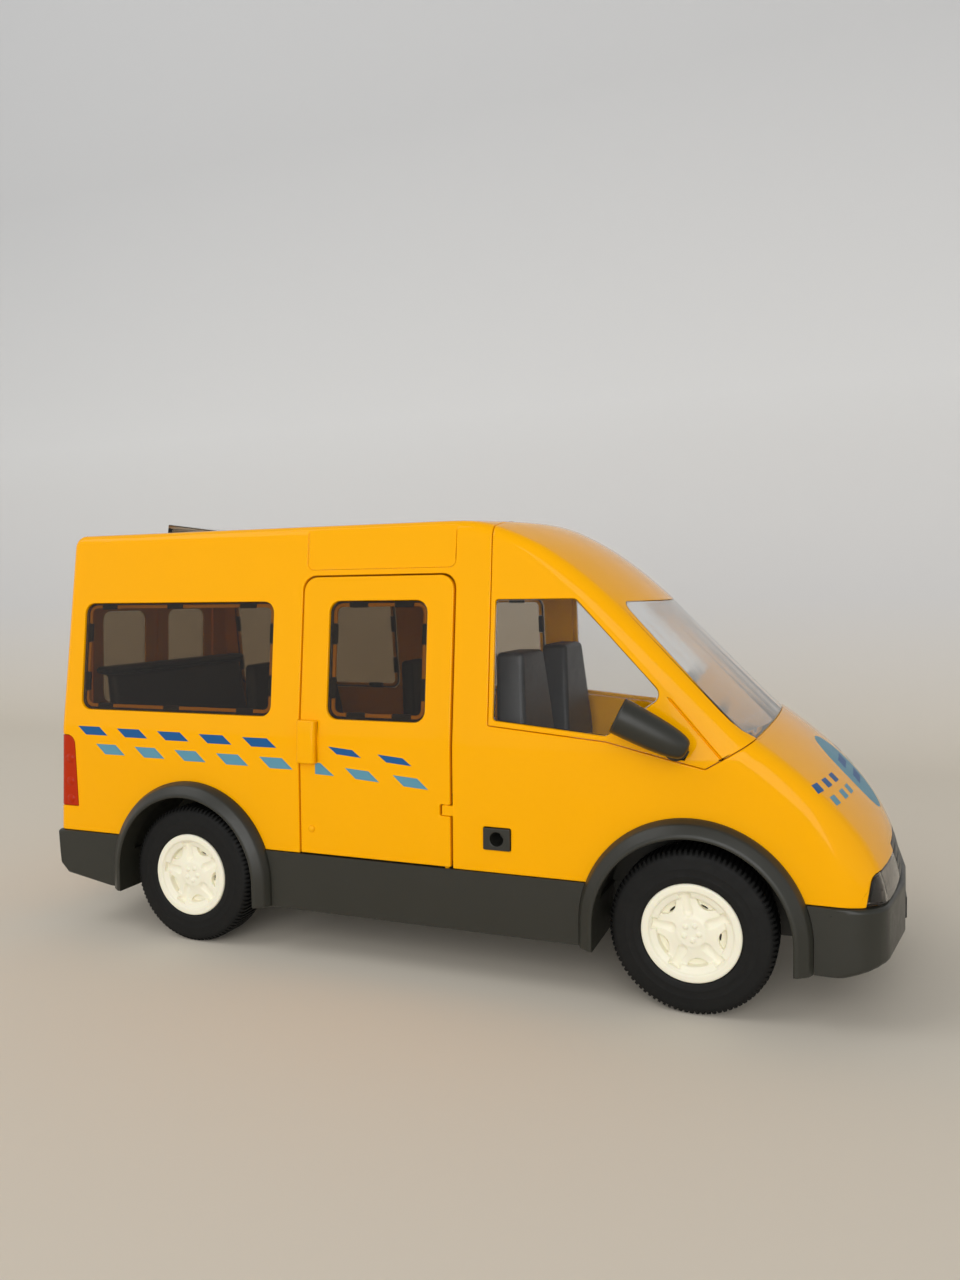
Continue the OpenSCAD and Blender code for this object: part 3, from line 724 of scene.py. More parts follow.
CLEAR = Pane("clear pane", "clear_pane", (0.96, 0.965, 0.97), ior=1.28)
SCREEN = Pane("clear screen", "clear_pane", (0.96, 0.965, 0.97), ior=2.2)
LENS = Pane("lamp lens", "lamp_clear", (0.72, 0.7, 0.68), ior=1.3)
BRIGHT = Metal("bright reflector", "lamp_clear", (0.45, 0.43, 0.4), 0.2)
RED = Moulded("red lamp", "lamp_red", (0.46, 0.026, 0.002), 0.2, handling=0.05, specular=0.1, coat=0.1)
STEEL = Metal("axle steel", "axle_steel", (0.5, 0.5, 0.51), 0.3)
DARK_BLUE = Moulded("dark blue print", "body_yellow", (0.008, 0.095, 0.28), 0.4, mottle=0.15, specular=0.25)
LIGHT_BLUE = Moulded("light blue print", "body_yellow", (0.105, 0.29, 0.39), 0.4, mottle=0.15, specular=0.25)


def dress(piece: bpy.types.Object, finish: Finish) -> None:
    """Gives a piece one finish all over."""
    piece.data.materials.clear()
    piece.data.materials.append(finish.material())


def settle(piece: bpy.types.Object, finish: Finish, body: str, *nodes: str) -> None:
    """Dresses a finished piece, lets it ride and hides the nodes that it stands for.

    Args:
        piece: The finished mesh object.
        finish: Its finish.
        body: The body that carries it.
        *nodes: Construction nodes that it replaces.
    """
    dress(piece, finish)
    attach(piece, body)
    if nodes:
        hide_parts(*nodes)
    log.info("%s: %d faces on %s", piece.name, len(piece.data.polygons), body)


# Body mouldings


@dataclass
class BodySkin:
    """The body's outer form, and the tools that part and open it. Lengths are in millimetres."""

    sill_z: float = 37.0
    waist_z: float = 77.0
    half_low: float = 54.6
    half_waist: float = 54.1
    lean: float = 0.105
    wall: float = 2.2
    roof_z: float = 152.5
    roof_drop: float = 0.9
    under_z: float = -20.0
    rear_low_x: float = -152.6
    rear_top_x: float = -148.6
    rear_top_r: float = 4.5
    screen_top: Point = (77.0, 123.5)
    screen_low: Point = (114.3, 85.4)
    roof_flat_x: float = 24.0
    roof_pull_x: float = 46.0
    bonnet_pull: Point = (149.5, 62.0)
    nose_x: float = 152.4
    bow_x: float = -48.0
    bow_span: Point = (60.0, 10.0)
    bow_least_x: float = 20.0
    crown_span: Point = (12.0, 2.0)
    brow_softness: float = 0.8
    roof_stations: Sequence[float] = (-20.0, -80.0, -118.0, -128.0)
    rear_stations: Sequence[float] = (132.0, 120.0)
    rear_edges_to_x: float = -100.0
    least_r: float = 0.4
    across: int = 10
    corner_steps: int = 6
    curve_steps: int = 18
    rear_steps: int = 8

    @property
    def rear_tilt(self) -> float:
        """Lean of the rear wall from upright, in radians."""
        return math.atan((self.rear_top_x - self.rear_low_x) / (self.roof_z - self.sill_z))

    def half_at(self, z: float) -> float:
        """Gives half the body's width at a height."""
        if z < self.waist_z:
            share = max(0.0, z - self.sill_z) / (self.waist_z - self.sill_z)
            return self.half_low + (self.half_waist - self.half_low) * share
        return self.half_waist - self.lean * (z - self.waist_z)

    def rear_at(self, z: float) -> float:
        """Gives the rear wall's place at a height."""
        return self.rear_low_x + (z - self.sill_z) * math.tan(self.rear_tilt)

    def profile(self) -> list[Point]:
        """Draws the centre line's side profile, counter-clockwise from under the nose.

        Returns:
            The closed outline, which runs below the sill.
        """
        crest, soft = self.roof_z + 1, self.brow_softness
        start = (self.nose_x, self.sill_z)
        bonnet = blend_curve(start, self.bonnet_pull, self.screen_low, self.curve_steps)
        pull, flat = (self.roof_pull_x, crest), (self.roof_flat_x, crest)
        level = []
        for x, z in blend_curve(self.screen_top, pull, flat, self.curve_steps):
            level.append((x, z - soft * math.log(1 + math.exp((z - self.roof_z) / soft))))
        top = level[-1][1]
        bend = [(0.0, top), (self.rear_at(top), top), (self.rear_low_x, self.sill_z)]
        corner = rounded(bend, [0, self.rear_top_r, 0], self.rear_steps)[1:]
        middle = [(x, top) for x in self.roof_stations]
        wall = [(self.rear_at(z), z) for z in self.rear_stations]
        return [(self.nose_x, self.under_z), *bonnet, *level, *middle, *corner[:-1], *wall, corner[-1],
                (self.rear_at(self.under_z), self.under_z)]

    def edge_radius(self, x: float) -> float:
        """Gives the rounding between the sides and the front, roof or rear at a place along the vehicle."""
        rear_r, rear_gain, roof_r, pillar_gain, bonnet_gain, nose_gain = 3.2, 0.4, 3.6, 1.4, 1.4, 4.0
        if x < self.rear_edges_to_x:
            return rear_r + rear_gain * ease(-138, -120, x)
        pillar = pillar_gain * ease(40, 76, x)
        bonnet = bonnet_gain * ease(108, 124, x)
        nose = nose_gain * ease(136, 152, x)
        return roof_r + pillar + bonnet + nose

    def solid(self, name: str, depth: float, floor_z: float | None = None) -> bpy.types.Object:
        """Builds the body's form, moved inwards.

        Args:
            name: The solid's name.
            depth: Distance inwards from the outer face; negative lies outside it.
            floor_z: Height at which the solid is cut off flat, or None to leave it long.

        Returns:
            The closed solid with rounded edges.
        """
        profile = self.profile()
        half = self.half_low - depth
        radii = [max(self.least_r, self.edge_radius(x) - depth) for x, _ in profile]
        outline = inset(profile, depth)
        drawn_in = inset(outline, radii)
        rows = [self.ring(*each, half) for each in zip(outline, drawn_in, radii)]
        piece = sheet(name, [*rows, rows[0]])
        with editing(piece):
            bpy.ops.mesh.remove_doubles(threshold=0.1 * MERGE)
            bpy.ops.mesh.fill_holes(sides=0)
            for z in (self.waist_z, floor_z):
                if z is not None:
                    bpy.ops.mesh.select_all(action="SELECT")
                    bpy.ops.mesh.bisect(plane_co=(0, 0, z * MM), plane_no=(0, 0, 1), use_fill=z == floor_z,
                                        clear_inner=z == floor_z, threshold=0.1 * MERGE)
            faces_out()
        for vertex in piece.data.vertices:
            vertex.co = self.bowed(vertex.co / MM, depth, half) * MM
        return piece

    def ring(self, at: Point, drawn_in: Point, radius: float, half: float) -> list[Vector]:
        """Draws the line across the body through one point of the profile.

        Args:
            at: The profile's point.
            drawn_in: The same point moved inwards by the radius.
            radius: Rounding of the line's two ends.
            half: Half the straight body's width.

        Returns:
            The line's points from the right side to the left.
        """
        inner = Vector((at[0], 0, at[1]))
        shift = Vector((drawn_in[0], 0, drawn_in[1])) - inner
        span = half - radius
        end = []
        for i in range(self.corner_steps + 1):
            angle = math.pi / 2 * i / self.corner_steps
            out = Vector((0, span + radius * math.sin(angle), 0))
            end.append(inner + shift * (1 - math.cos(angle)) + out)
        right = [Vector((p.x, -p.y, p.z)) for p in reversed(end)]
        between = [inner + Vector((0, span * (2 * i / self.across - 1), 0)) for i in range(1, self.across)]
        return [p * MM for p in (*right, *between, *end)]

    def bowed(self, at: Vector, depth: float, half: float) -> Vector:
        """Moves a point of the straight body to its leaning, bowed and crowned form.

        Args:
            at: The point, in millimetres.
            depth: The solid's distance inwards from the outer face.
            half: Half the straight body's width.

        Returns:
            The moved point, in millimetres.
        """
        crown = self.roof_drop * (at.y / half) ** 2
        low, high = (self.roof_z - below for below in self.crown_span)
        z = at.z - crown * ease(low, high, at.z + depth)
        y = at.y * (self.half_at(z) - depth) / half
        behind, ahead = self.bow_span
        share = ease(self.roof_flat_x - behind, self.roof_flat_x + ahead, at.x)
        reach = max(at.x, self.bow_least_x) - self.bow_x
        bow = math.sqrt(max(reach * reach - y * y, 0.0)) - reach
        return Vector((at.x + bow * share, y, z))

    def layer(self, name: str, outer: float, inner: float) -> bpy.types.Object:
        """Builds the part of the body's wall between two depths, open below."""
        piece = self.solid(name, outer, self.sill_z)
        cut(piece, self.solid("inner form", inner))
        return piece

    def portion(self, name: str, depth: Point, *tools: bpy.types.Object) -> bpy.types.Object:
        """Builds the part of a layer of the wall that lies inside every tool.

        Args:
            name: The piece's name.
            depth: The layer's outer and inner depth.
            *tools: Closed meshes, which are deleted.

        Returns:
            The closed solid.
        """
        piece = self.layer(name, *depth)
        for tool in tools:
            cut(piece, tool, "INTERSECT")
        clean(piece, CURVED_FLAT)
        return piece

    def onto_side(self, piece: bpy.types.Object, side: Side) -> bpy.types.Object:
        """Moves a flat piece onto a side wall.

        Args:
            piece: A piece whose Y is its depth below the wall's face.
            side: The side that it goes to.

        Returns:
            The same piece.
        """
        for vertex in piece.data.vertices:
            at = vertex.co / MM
            vertex.co.y = side.value * (self.half_at(at.z) - at.y) * MM
        with editing(piece):
            faces_out()
        return piece

    def onto_rear(self, piece: bpy.types.Object) -> bpy.types.Object:
        """Moves a piece from the rear wall's own frame to its place."""
        place = Matrix.Translation(Vector((self.rear_low_x, 0, self.sill_z)) * MM)
        piece.data.transform(place @ Matrix.Rotation(self.rear_tilt, 4, "Y"))
        return piece


@dataclass
class Openings:
    """Outlines of the windows, doors and lamps, shared by the body and what fills it."""

    skin: BodySkin
    glass_z: Point = (84.5, 125.0)
    fit: float = 0.1
    seam: float = 0.09
    cab_seam_x: float = 27.6
    cab_foot_z: float = 84.4
    cab_foot: Sequence[Point] = ((66.5, 81.0), (96.6, 74.2), (107.6, 81.0))
    cab_front: Point = (150.0, 108.9)
    cab_past: Point = (200.0, 220.0)
    cab_frame: float = 1.8
    cab_glass_front: Point = (84.0, 95.5)
    cab_glass_top_x: float = 56.0
    screen_half: Point = (51.2, 41.4)
    screen_foot_z: tuple[float, float, float] = (79.0, 81.8, 82.8)
    screen_over: float = 0.4
    door_x: Point = (-42.5, 14.5)
    door_top_z: float = 133.5
    rear_window_x: Point = (-140.8, -55.0)
    middle_window_x: Point = (-32.0, 15.0)
    door_window_x: Point = (-32.0, 5.0)
    window_r: float = 4.0
    door_top_r: float = 5.0
    lamp_inner_y: float = 21.0
    lamp_rear_x: Point = (141.0, 142.7)
    lamp_top_z: Point = (45.2, 46.0)
    grille_x: Point = (138.0, 170.0)
    grille_gap: float = 0.1
    grille_top_z: float = 48.0
    tail_z: Point = (46.6, 74.1)
    tail_x: float = -143.0
    tail_inner_y: float = 42.5
    past_end_x: float = 170.0
    past_side_y: float = 75.0

    def window(self, span: Point, grow: float = 0.0) -> list[Point]:
        """Draws a tinted side window."""
        low, high = self.glass_z
        outline = rounded(oblong((span[0], low), (span[1], high)), self.window_r)
        return inset(outline, -grow)

    def cab_line(self, grow: float) -> list[Point]:
        """Draws the lift-off cab roof in side view, past the body's top and front."""
        x = self.cab_seam_x
        line = [(x, self.cab_past[1]), (x, self.cab_foot_z), *self.cab_foot, self.skin.screen_low,
                self.cab_front, self.cab_past]
        return inset(line, -grow)

    def cab_glass(self, grow: float = 0.0) -> list[Point]:
        """Draws a cab side window."""
        x, top = self.cab_seam_x + self.cab_frame, self.glass_z[1]
        elbow_x, elbow_z = self.cab_foot[0]
        line = [(x, self.cab_foot_z + self.cab_frame), (elbow_x, elbow_z + self.cab_frame),
                self.cab_glass_front, (self.cab_glass_top_x, top), (x, top)]
        return inset(rounded(line, [1, 2, 3, 2, 0.8]), -grow)

    def screen(self, grow: float = 0.0) -> list[Point]:
        """Draws the windscreen as seen from the front."""
        low_y, top_y = self.screen_half
        end_z, quarter_z, middle_z = self.screen_foot_z
        top_z = self.skin.screen_top[1] + self.screen_over
        line = [(-low_y, end_z), (-low_y / 2, quarter_z), (0.0, middle_z), (low_y / 2, quarter_z),
                (low_y, end_z), (top_y, top_z), (-top_y, top_z)]
        return inset(rounded(line, [9, 12, 12, 12, 9, 4, 4]), -grow)

    def door(self, low_z: float, rear: float = 0.0, front: float = 0.0, up: float = 0.0) -> list[Point]:
        """Draws the side door, grown at its edges."""
        outline = oblong((self.door_x[0] - rear, low_z), (self.door_x[1] + front, self.door_top_z + up))
        return rounded(outline, [0, 0, self.door_top_r, self.door_top_r])

    def lamp(self, grow: float = 0.0, foot: float = 0.3) -> list[Point]:
        """Draws a headlight in side view, with its foot at a height over the sill."""
        low = self.skin.sill_z + foot
        front, (low_x, top_x), (front_z, rear_z) = self.past_end_x, self.lamp_rear_x, self.lamp_top_z
        line = [(low_x, low), (front, low), (front, front_z), (top_x, rear_z)]
        return inset(rounded(line, [0, 0, 0, 2.2], 3), -grow)

    def tail(self, grow: float = 0.0) -> list[Point]:
        """Draws a tail light in side view."""
        low, high = self.tail_z
        rear = -self.past_end_x
        line = [(rear, low), (self.tail_x + 0.2, low), (self.tail_x - 1.1, high), (rear, high)]
        outline = rounded(line, [0, 0.4, 3.6, 0])
        return inset(outline, -grow)

    def side_tool(self, outline: Sequence[Point], side: Side, inner_y: float = 30.0) -> bpy.types.Object:
        """Makes a tool that runs out through one side from a distance off the middle."""
        return prism("side tool", outline, Axis.Y, *side.span(inner_y, self.past_side_y))

    def cab_tool(self, grow: float) -> bpy.types.Object:
        """Makes the tool that parts the cab roof from the body, right across the vehicle."""
        return prism("cab tool", self.cab_line(grow), Axis.Y, -90.0, 90.0)

    def screen_tool(self, grow: float = 0.0) -> bpy.types.Object:
        """Makes the tool of the windscreen's outline, through the front of the cab."""
        return prism("screen tool", self.screen(grow), Axis.X, 60.0, 130.0)

    def grille_tool(self, low_z: float, high_z: float, grow: float = 0.0) -> bpy.types.Object:
        """Makes the tool of a band between the headlights, from one height to another."""
        half = self.lamp_inner_y - self.grille_gap + grow
        return block("grille tool", (self.grille_x[0], -half, low_z), (self.grille_x[1], half, high_z))


@dataclass
class Shell:
    """The yellow body moulding with its roof, sides, bonnet and rear frame."""

    openings: Openings
    arch_r: float = 30.6
    arch_y: Point = (30.0, 80.0)
    header: tuple[Point, Point] = ((-41.5, 136.0), (15.0, 153.0))
    header_r: float = 2.5
    header_depth: Point = (-6.0, 0.5)
    door_gaps: tuple[float, float, float] = (0.55, 0.75, 0.45)
    below_door: float = 5.0
    below_lamps: float = 1.0
    socket: tuple[Point, Point] = ((26.1, 44.4), (35.5, 51.7))
    hatch: tuple[Place, Place] = ((-122.0, -24.5, 140.0), (-83.1, 24.5, 170.0))
    rear_door_half: float = 38.9
    rear_door_z: Point = (3.5, 96.5)
    rear_door_r: float = 2.0
    rear_door_depth: Point = (-4.0, 9.0)
    lug_x: Point = (11.5, 17.2)
    lug_z: Point = (54.3, 57.7)
    strip_x: Point = (12.6, 18.0)
    web_x: Point = (16.2, 18.0)
    upper_z: Point = (66.5, 131.0)
    lower_z: Point = (38.5, 53.6)
    pin_z: float = 57.0
    pin_r: float = 0.8
    pin_length: float = 5.0
    rear_block_x: Point = (0.6, 3.4)
    rear_block_z: Point = (97.2, 101.0)
    rear_block_half: float = 2.5
    hinge_edge: float = 0.2
    edge: float = 0.45

    def side_tools(self, side: Side) -> list[bpy.types.Object]:
        """Makes the tools that open one side."""
        shapes = self.openings
        fit = shapes.fit
        tools = [shapes.side_tool(shapes.window(shapes.rear_window_x, fit), side),
                 shapes.side_tool(shapes.lamp(fit, -self.below_lamps), side, shapes.lamp_inner_y - fit),
                 shapes.side_tool(shapes.tail(fit), side, shapes.tail_inner_y - fit)]
        start, end = side.span(*self.arch_y)
        for x in AXLES:
            tools.append(drum("arch tool", (x, start, AXLE_Z), self.arch_r, Axis.Y, end - start, 96))
        return tools

    def tools(self) -> list[bpy.types.Object]:
        """Makes the tools that open the body."""
        shapes = self.openings
        skin, fit = shapes.skin, shapes.fit
        header = rounded(oblong(*self.header), self.header_r)
        half, (low, high) = self.rear_door_half, self.rear_door_z
        rear = rounded(oblong((-half, low), (half, high)), self.rear_door_r)
        return [
            shapes.cab_tool(shapes.seam),
            shapes.side_tool(shapes.door(skin.sill_z - self.below_door, *self.door_gaps), Side.RIGHT),
            shapes.side_tool(shapes.window(shapes.middle_window_x, fit), Side.LEFT),
            shapes.grille_tool(skin.sill_z - self.below_lamps, shapes.grille_top_z + fit, fit),
            skin.onto_rear(prism("rear tool", rear, Axis.X, *self.rear_door_depth)),
            block("hatch tool", *self.hatch),
            shapes.side_tool(oblong(*self.socket), Side.RIGHT),
            skin.onto_side(prism("header tool", header, Axis.Y, *self.header_depth), Side.RIGHT),
            *self.side_tools(Side.RIGHT),
            *self.side_tools(Side.LEFT),
        ]

    def hinge_parts(self) -> list[bpy.types.Object]:
        """Makes the side door's hinge lug, pin and backing strips, and the blocks over the rear doors."""
        skin = self.openings.skin
        parts = [drum("pin", (*DOOR_HINGE, self.pin_z), self.pin_r, Axis.Z, self.pin_length, 24)]
        for name, (x0, x1), (z0, z1), depth in (
                ("lug", self.lug_x, self.lug_z, (0.12, 2.4)),
                ("strip", self.strip_x, self.upper_z, (3.2, 4.0)),
                ("web", self.web_x, self.upper_z, (2.0, 3.6)),
                ("strip", self.strip_x, self.lower_z, (3.6, 4.2)),
                ("web", self.web_x, self.lower_z, (2.0, 3.9))):
            part = prism(name, oblong((x0, z0), (x1, z1)), Axis.Y, *depth)
            parts.append(skin.onto_side(part, Side.RIGHT))
        (x0, x1), (z0, z1), half = self.rear_block_x, self.rear_block_z, self.rear_block_half
        for side in Side:
            y = side.value * REAR_HINGE_Y
            parts.append(skin.onto_rear(block("rear block", (x0, y - half, z0), (x1, y + half, z1))))
        for part in parts:
            soften(part, self.hinge_edge)
        return parts

    def build(self) -> None:
        """Builds the moulding."""
        skin = self.openings.skin
        piece = skin.layer("body_shell", 0.0, skin.wall)
        for tool in self.tools():
            cut(piece, tool)
        clean(piece)
        soften(piece, self.edge)
        join([piece, *self.hinge_parts()], "body_shell")
        settle(piece, YELLOW, "body", "roof_panel", "rear_frame", "side_panel_left", "side_panel_rear_right",
               "side_panel_front_right", "bonnet")


@dataclass
class Cab:
    """The lift-off cab roof with its windscreen and side windows."""

    openings: Openings
    peg: Point = (88.5, 80.5)
    peg_r: float = 2.05
    peg_y: Point = (40.0, 70.0)
    edge: float = 0.45
    glass_edge: float = 0.25
    screen_depth: Point = (0.2, 1.5)
    glass_depth: Point = (0.5, 1.8)
    groove: tuple[Point, Point] = ((85.6, 95.0), (101.4, 77.4))
    groove_w: float = 0.45
    groove_depth: float = 0.35

    def roof(self) -> None:
        """Builds the yellow moulding."""
        shapes = self.openings
        skin = shapes.skin
        piece = skin.layer("cab_roof_form", 0.0, skin.wall)
        cut(piece, shapes.cab_tool(-shapes.seam), "INTERSECT")
        cut(piece, shapes.screen_tool(shapes.fit))
        x, z = self.peg
        for side in Side:
            cut(piece, shapes.side_tool(shapes.cab_glass(shapes.fit), side))
            start, end = side.span(*self.peg_y)
            cut(piece, drum("peg tool", (x, start, z), self.peg_r, Axis.Y, end - start, 32))
            cut(piece, self.groove_tool(side))
        clean(piece)
        soften(piece, self.edge)
        settle(piece, YELLOW, "cab_roof", "cab_roof")

    def groove_tool(self, side: Side) -> bpy.types.Object:
        """Makes the tool of the fine line between a mirror's panel and the windscreen pillar."""
        top, foot = (Vector(p) for p in self.groove)
        along = (foot - top).normalized()
        off = Vector((-along.y, along.x)) * self.groove_w / 2
        outline = [tuple(top - off), tuple(foot - off), tuple(foot + off), tuple(top + off)]
        tool = prism("groove tool", outline, Axis.Y, -3.0, self.groove_depth)
        return self.openings.skin.onto_side(tool, side)

    def windscreen(self) -> None:
        """Builds the curved clear windscreen."""
        shapes = self.openings
        tools = shapes.cab_tool(-shapes.seam), shapes.screen_tool()
        piece = shapes.skin.portion("windscreen_form", self.screen_depth, *tools)
        soften(piece, self.glass_edge)
        settle(piece, SCREEN, "cab_roof", "windscreen")

    def side_windows(self) -> None:
        """Builds the two clear side windows."""
        for side in Side:
            outline = self.openings.cab_glass()
            piece = prism(f"cab_window_{side.word}_form", outline, Axis.Y, *self.glass_depth)
            self.openings.skin.onto_side(piece, side)
            soften(piece, self.glass_edge)
            settle(piece, CLEAR, "cab_roof", f"cab_window_{side.word}")

    def build(self) -> None:
        """Builds the whole cab roof."""
        self.roof()
        self.windscreen()
        self.side_windows()


@dataclass
class TintedWindow:
    """A tinted side pane, the body's flange behind its edge and the pane's dark clips."""

    openings: Openings
    span: Point
    side: Side
    body: str
    node: str
    clip_shares: Sequence[float]
    depth: Point = (0.7, 2.0)
    flange: Point = (0.75, 2.0)
    flange_depth: Point = (2.1, 2.9)
    clip: Point = (7.0, 2.3)
    clip_depth: Point = (2.05, 3.0)
    clip_gap: float = 0.2
    end_shares: Point = (0.26, 0.72)
    dark_line: Point = (0.1, 0.7)
    through: Point = (-1.0, 9.0)

    def pane(self) -> None:
        """Builds the flat pane."""
        piece = prism(f"{self.node}_form", self.openings.window(self.span), Axis.Y, *self.depth)
        self.openings.skin.onto_side(piece, self.side)
        soften(piece, 0.3)
        settle(piece, TINTED, self.body, self.node)

    def clip_boxes(self) -> list[tuple[Point, Point]]:
        """Gives the low and high corners of the clips round the edge."""
        (x0, x1), (z0, z1) = self.span, self.openings.glass_z
        half, width = self.clip[0] / 2, self.clip[1]
        boxes = []
        for share in self.clip_shares:
            x = x0 + (x1 - x0) * share
            boxes.append(((x - half, z0), (x + half, z0 + width)))
            boxes.append(((x - half, z1 - width), (x + half, z1)))
        for share in self.end_shares:
            z = z0 + (z1 - z0) * share
            boxes.append(((x0, z - half), (x0 + width, z + half)))
            boxes.append(((x1 - width, z - half), (x1, z + half)))
        return boxes

    def band(self, name: str, edges: Point, depth: Point) -> bpy.types.Object:
        """Builds a flat band along the window's edge."""
        outline = self.openings.window(self.span)
        piece = prism(name, inset(outline, edges[0]), Axis.Y, *depth)
        cut(piece, prism("band tool", inset(outline, edges[1]), Axis.Y, *self.through))
        return piece

    def rim(self) -> None:
        """Builds the dark line of the pane's edge with its clips."""
        name = f"{self.node}_clips"
        parts = [self.band(name, self.dark_line, self.clip_depth)]
        for low, high in self.clip_boxes():
            parts.append(prism("clip", rounded(oblong(low, high), 0.4, 2), Axis.Y, *self.clip_depth))
        for part in parts:
            soften(part, 0.15)
        piece = join(parts, name)
        self.openings.skin.onto_side(piece, self.side)
        settle(piece, TINTED_RIM, self.body)

    def ledge(self) -> None:
        """Builds the body's yellow flange, open where the clips pass."""
        piece = self.band(f"{self.node}_flange", self.flange, self.flange_depth)
        gap = self.clip_gap
        for (x0, z0), (x1, z1) in self.clip_boxes():
            outline = oblong((x0 - gap, z0 - gap), (x1 + gap, z1 + gap))
            cut(piece, prism("clip tool", outline, Axis.Y, *self.through))
        soften(piece, 0.15)
        self.openings.skin.onto_side(piece, self.side)
        settle(piece, YELLOW, self.body)

    def build(self) -> None:
        """Builds the window."""
        self.pane()
        self.rim()
        self.ledge()


@dataclass
class SideDoor:
    """The hinged door in the right side, with its pull tab, its stop and its hinge pins."""

    openings: Openings
    low_z: float = 37.3
    edge: float = 0.5
    tab_x: Point = (-42.8, -35.4)
    tab_z: Point = (69.0, 84.0)
    tab_out: float = 2.6
    tab_lap_x: float = -42.4
    stop: Point = (-38.0, 46.0)
    stop_line: Sequence[Point] = (
        (0.0, -0.75), (0.5, -0.7), (0.95, -0.5), (1.25, -0.15), (1.35, 0.3), (0.0, 0.3))
    hinge_notch: tuple[Place, Place] = ((10.8, -5.0, 54.15), (20.0, 9.0, 57.85))
    knuckle: tuple[Place, Place] = ((10.4, -54.0, 58.0), (13.4, -50.6, 65.0))
    pin_r: float = 0.8
    bore_r: float = 0.85
    hinge_edge: float = 0.2

    def panel(self) -> bpy.types.Object:
        """Builds the door's wall in flat form, then folds it at the waist."""
        shapes = self.openings
        piece = prism("side_door_form", shapes.door(self.low_z), Axis.Y, 0.0, shapes.skin.wall)
        cut(piece, prism("window tool", shapes.window(shapes.door_window_x, shapes.fit), Axis.Y, -5.0, 9.0))
        cut(piece, block("hinge tool", *self.hinge_notch))
        with editing(piece):
            bpy.ops.mesh.bisect(plane_co=(0, 0, shapes.skin.waist_z * MM), plane_no=(0, 0, 1))
        soften(piece, self.edge)
        return shapes.skin.onto_side(piece, Side.RIGHT)

    def tab(self) -> bpy.types.Object:
        """Builds the pull tab, which laps over the body's edge."""
        outline = rounded(oblong((self.tab_x[0], -self.tab_out), (self.tab_x[1], -0.4)), [1.4, 1.4, 0, 0])
        piece = prism("tab", outline, Axis.Z, *self.tab_z)
        grip = prism("grip", oblong((self.tab_x[0] - 1, -0.45), (self.tab_lap_x, 3.0)), Axis.Z, 60.0, 90.0)
        foot = prism("foot", oblong((self.tab_lap_x, -0.6), (self.tab_x[1], 0.6)), Axis.Z, *self.tab_z)
        cut(piece, grip)
        cut(piece, foot, "UNION")
        soften(piece, 0.7, 3)
        return self.openings.skin.onto_side(piece, Side.RIGHT)

    def dome(self) -> bpy.types.Object:
        """Builds the small round stop near the foot of the door."""
        piece = lathe("stop", self.stop_line, (self.stop[0], 0.0, self.stop[1]), 24)
        shade(piece)
        return self.openings.skin.onto_side(piece, Side.RIGHT)

    def pins(self) -> list[bpy.types.Object]:
        """Builds the hinge pin at the foot and the knuckle in the middle."""
        foot = drum("pin", (*DOOR_HINGE, 34.0), self.pin_r, Axis.Z, 3.8, 24)
        knuckle = block("knuckle", *self.knuckle)
        cut(knuckle, drum("pin tool", (*DOOR_HINGE, 50.0), self.bore_r, Axis.Z, 13.0, 24))
        for part in (foot, knuckle):
            soften(part, self.hinge_edge)
        return [foot, knuckle]

    def build(self) -> None:
        """Builds the door and its window."""
        piece = join([self.panel(), self.tab(), self.dome(), *self.pins()], "side_door_form")
        settle(piece, YELLOW, "side_door", "side_door")
        span, node = self.openings.door_window_x, "side_door_window"
        TintedWindow(self.openings, span, Side.RIGHT, "side_door", node, TWO_CLIPS).build()


def on_arch_seat(at: Vector) -> bool:
    """Tells whether a point lies where the sills and bumpers meet the wheel arches."""
    seat_r = 34.8
    across = min(abs(at.x - x) for x in AXLES)
    return across < seat_r if at.z < AXLE_Z else math.hypot(across, at.z - AXLE_Z) < seat_r


def stands_proud(at: Vector) -> bool:
    """Tells whether a point of a wheel arch stands out beyond the body's side."""
    flare_y = 55.5
    return abs(at.y) > flare_y


def stands_free(at: Vector) -> bool:
    """Tells whether a point of a sill or bumper lies away from the wheel arches."""
    return not on_arch_seat(at)


@dataclass
class Copies:
    """Pieces whose form is the construction's own, with their edges rounded and a finish."""

    finish: Finish
    body: str
    nodes: Sequence[str]
    edge: float
    steps: int = 3
    angle: float = 38.0
    rounds: Callable[[Vector], bool] | None = None

    def round_some(self, piece: bpy.types.Object) -> None:
        """Rounds the sharp edges whose ends both pass the test."""
        with editing(piece) as mesh:
            bpy.ops.mesh.select_mode(type="EDGE")
            bpy.ops.mesh.select_all(action="DESELECT")
            for edge in mesh.edges:
                sharp = edge.calc_face_angle(0.0) > math.radians(self.angle)
                edge.select_set(sharp and all(self.rounds(vertex.co / MM) for vertex in edge.verts))
            bpy.ops.mesh.bevel(offset=self.edge * MM, segments=self.steps, affect="EDGES",
                               clamp_overlap=False)
        shade(piece)

    def build(self) -> None:
        """Builds every piece of the list."""
        for node in self.nodes:
            piece = copy_node(node, f"{node}_form")
            if self.rounds:
                self.round_some(piece)
            else:
                soften(piece, self.edge, self.steps, self.angle)
            settle(piece, self.finish, self.body, node)


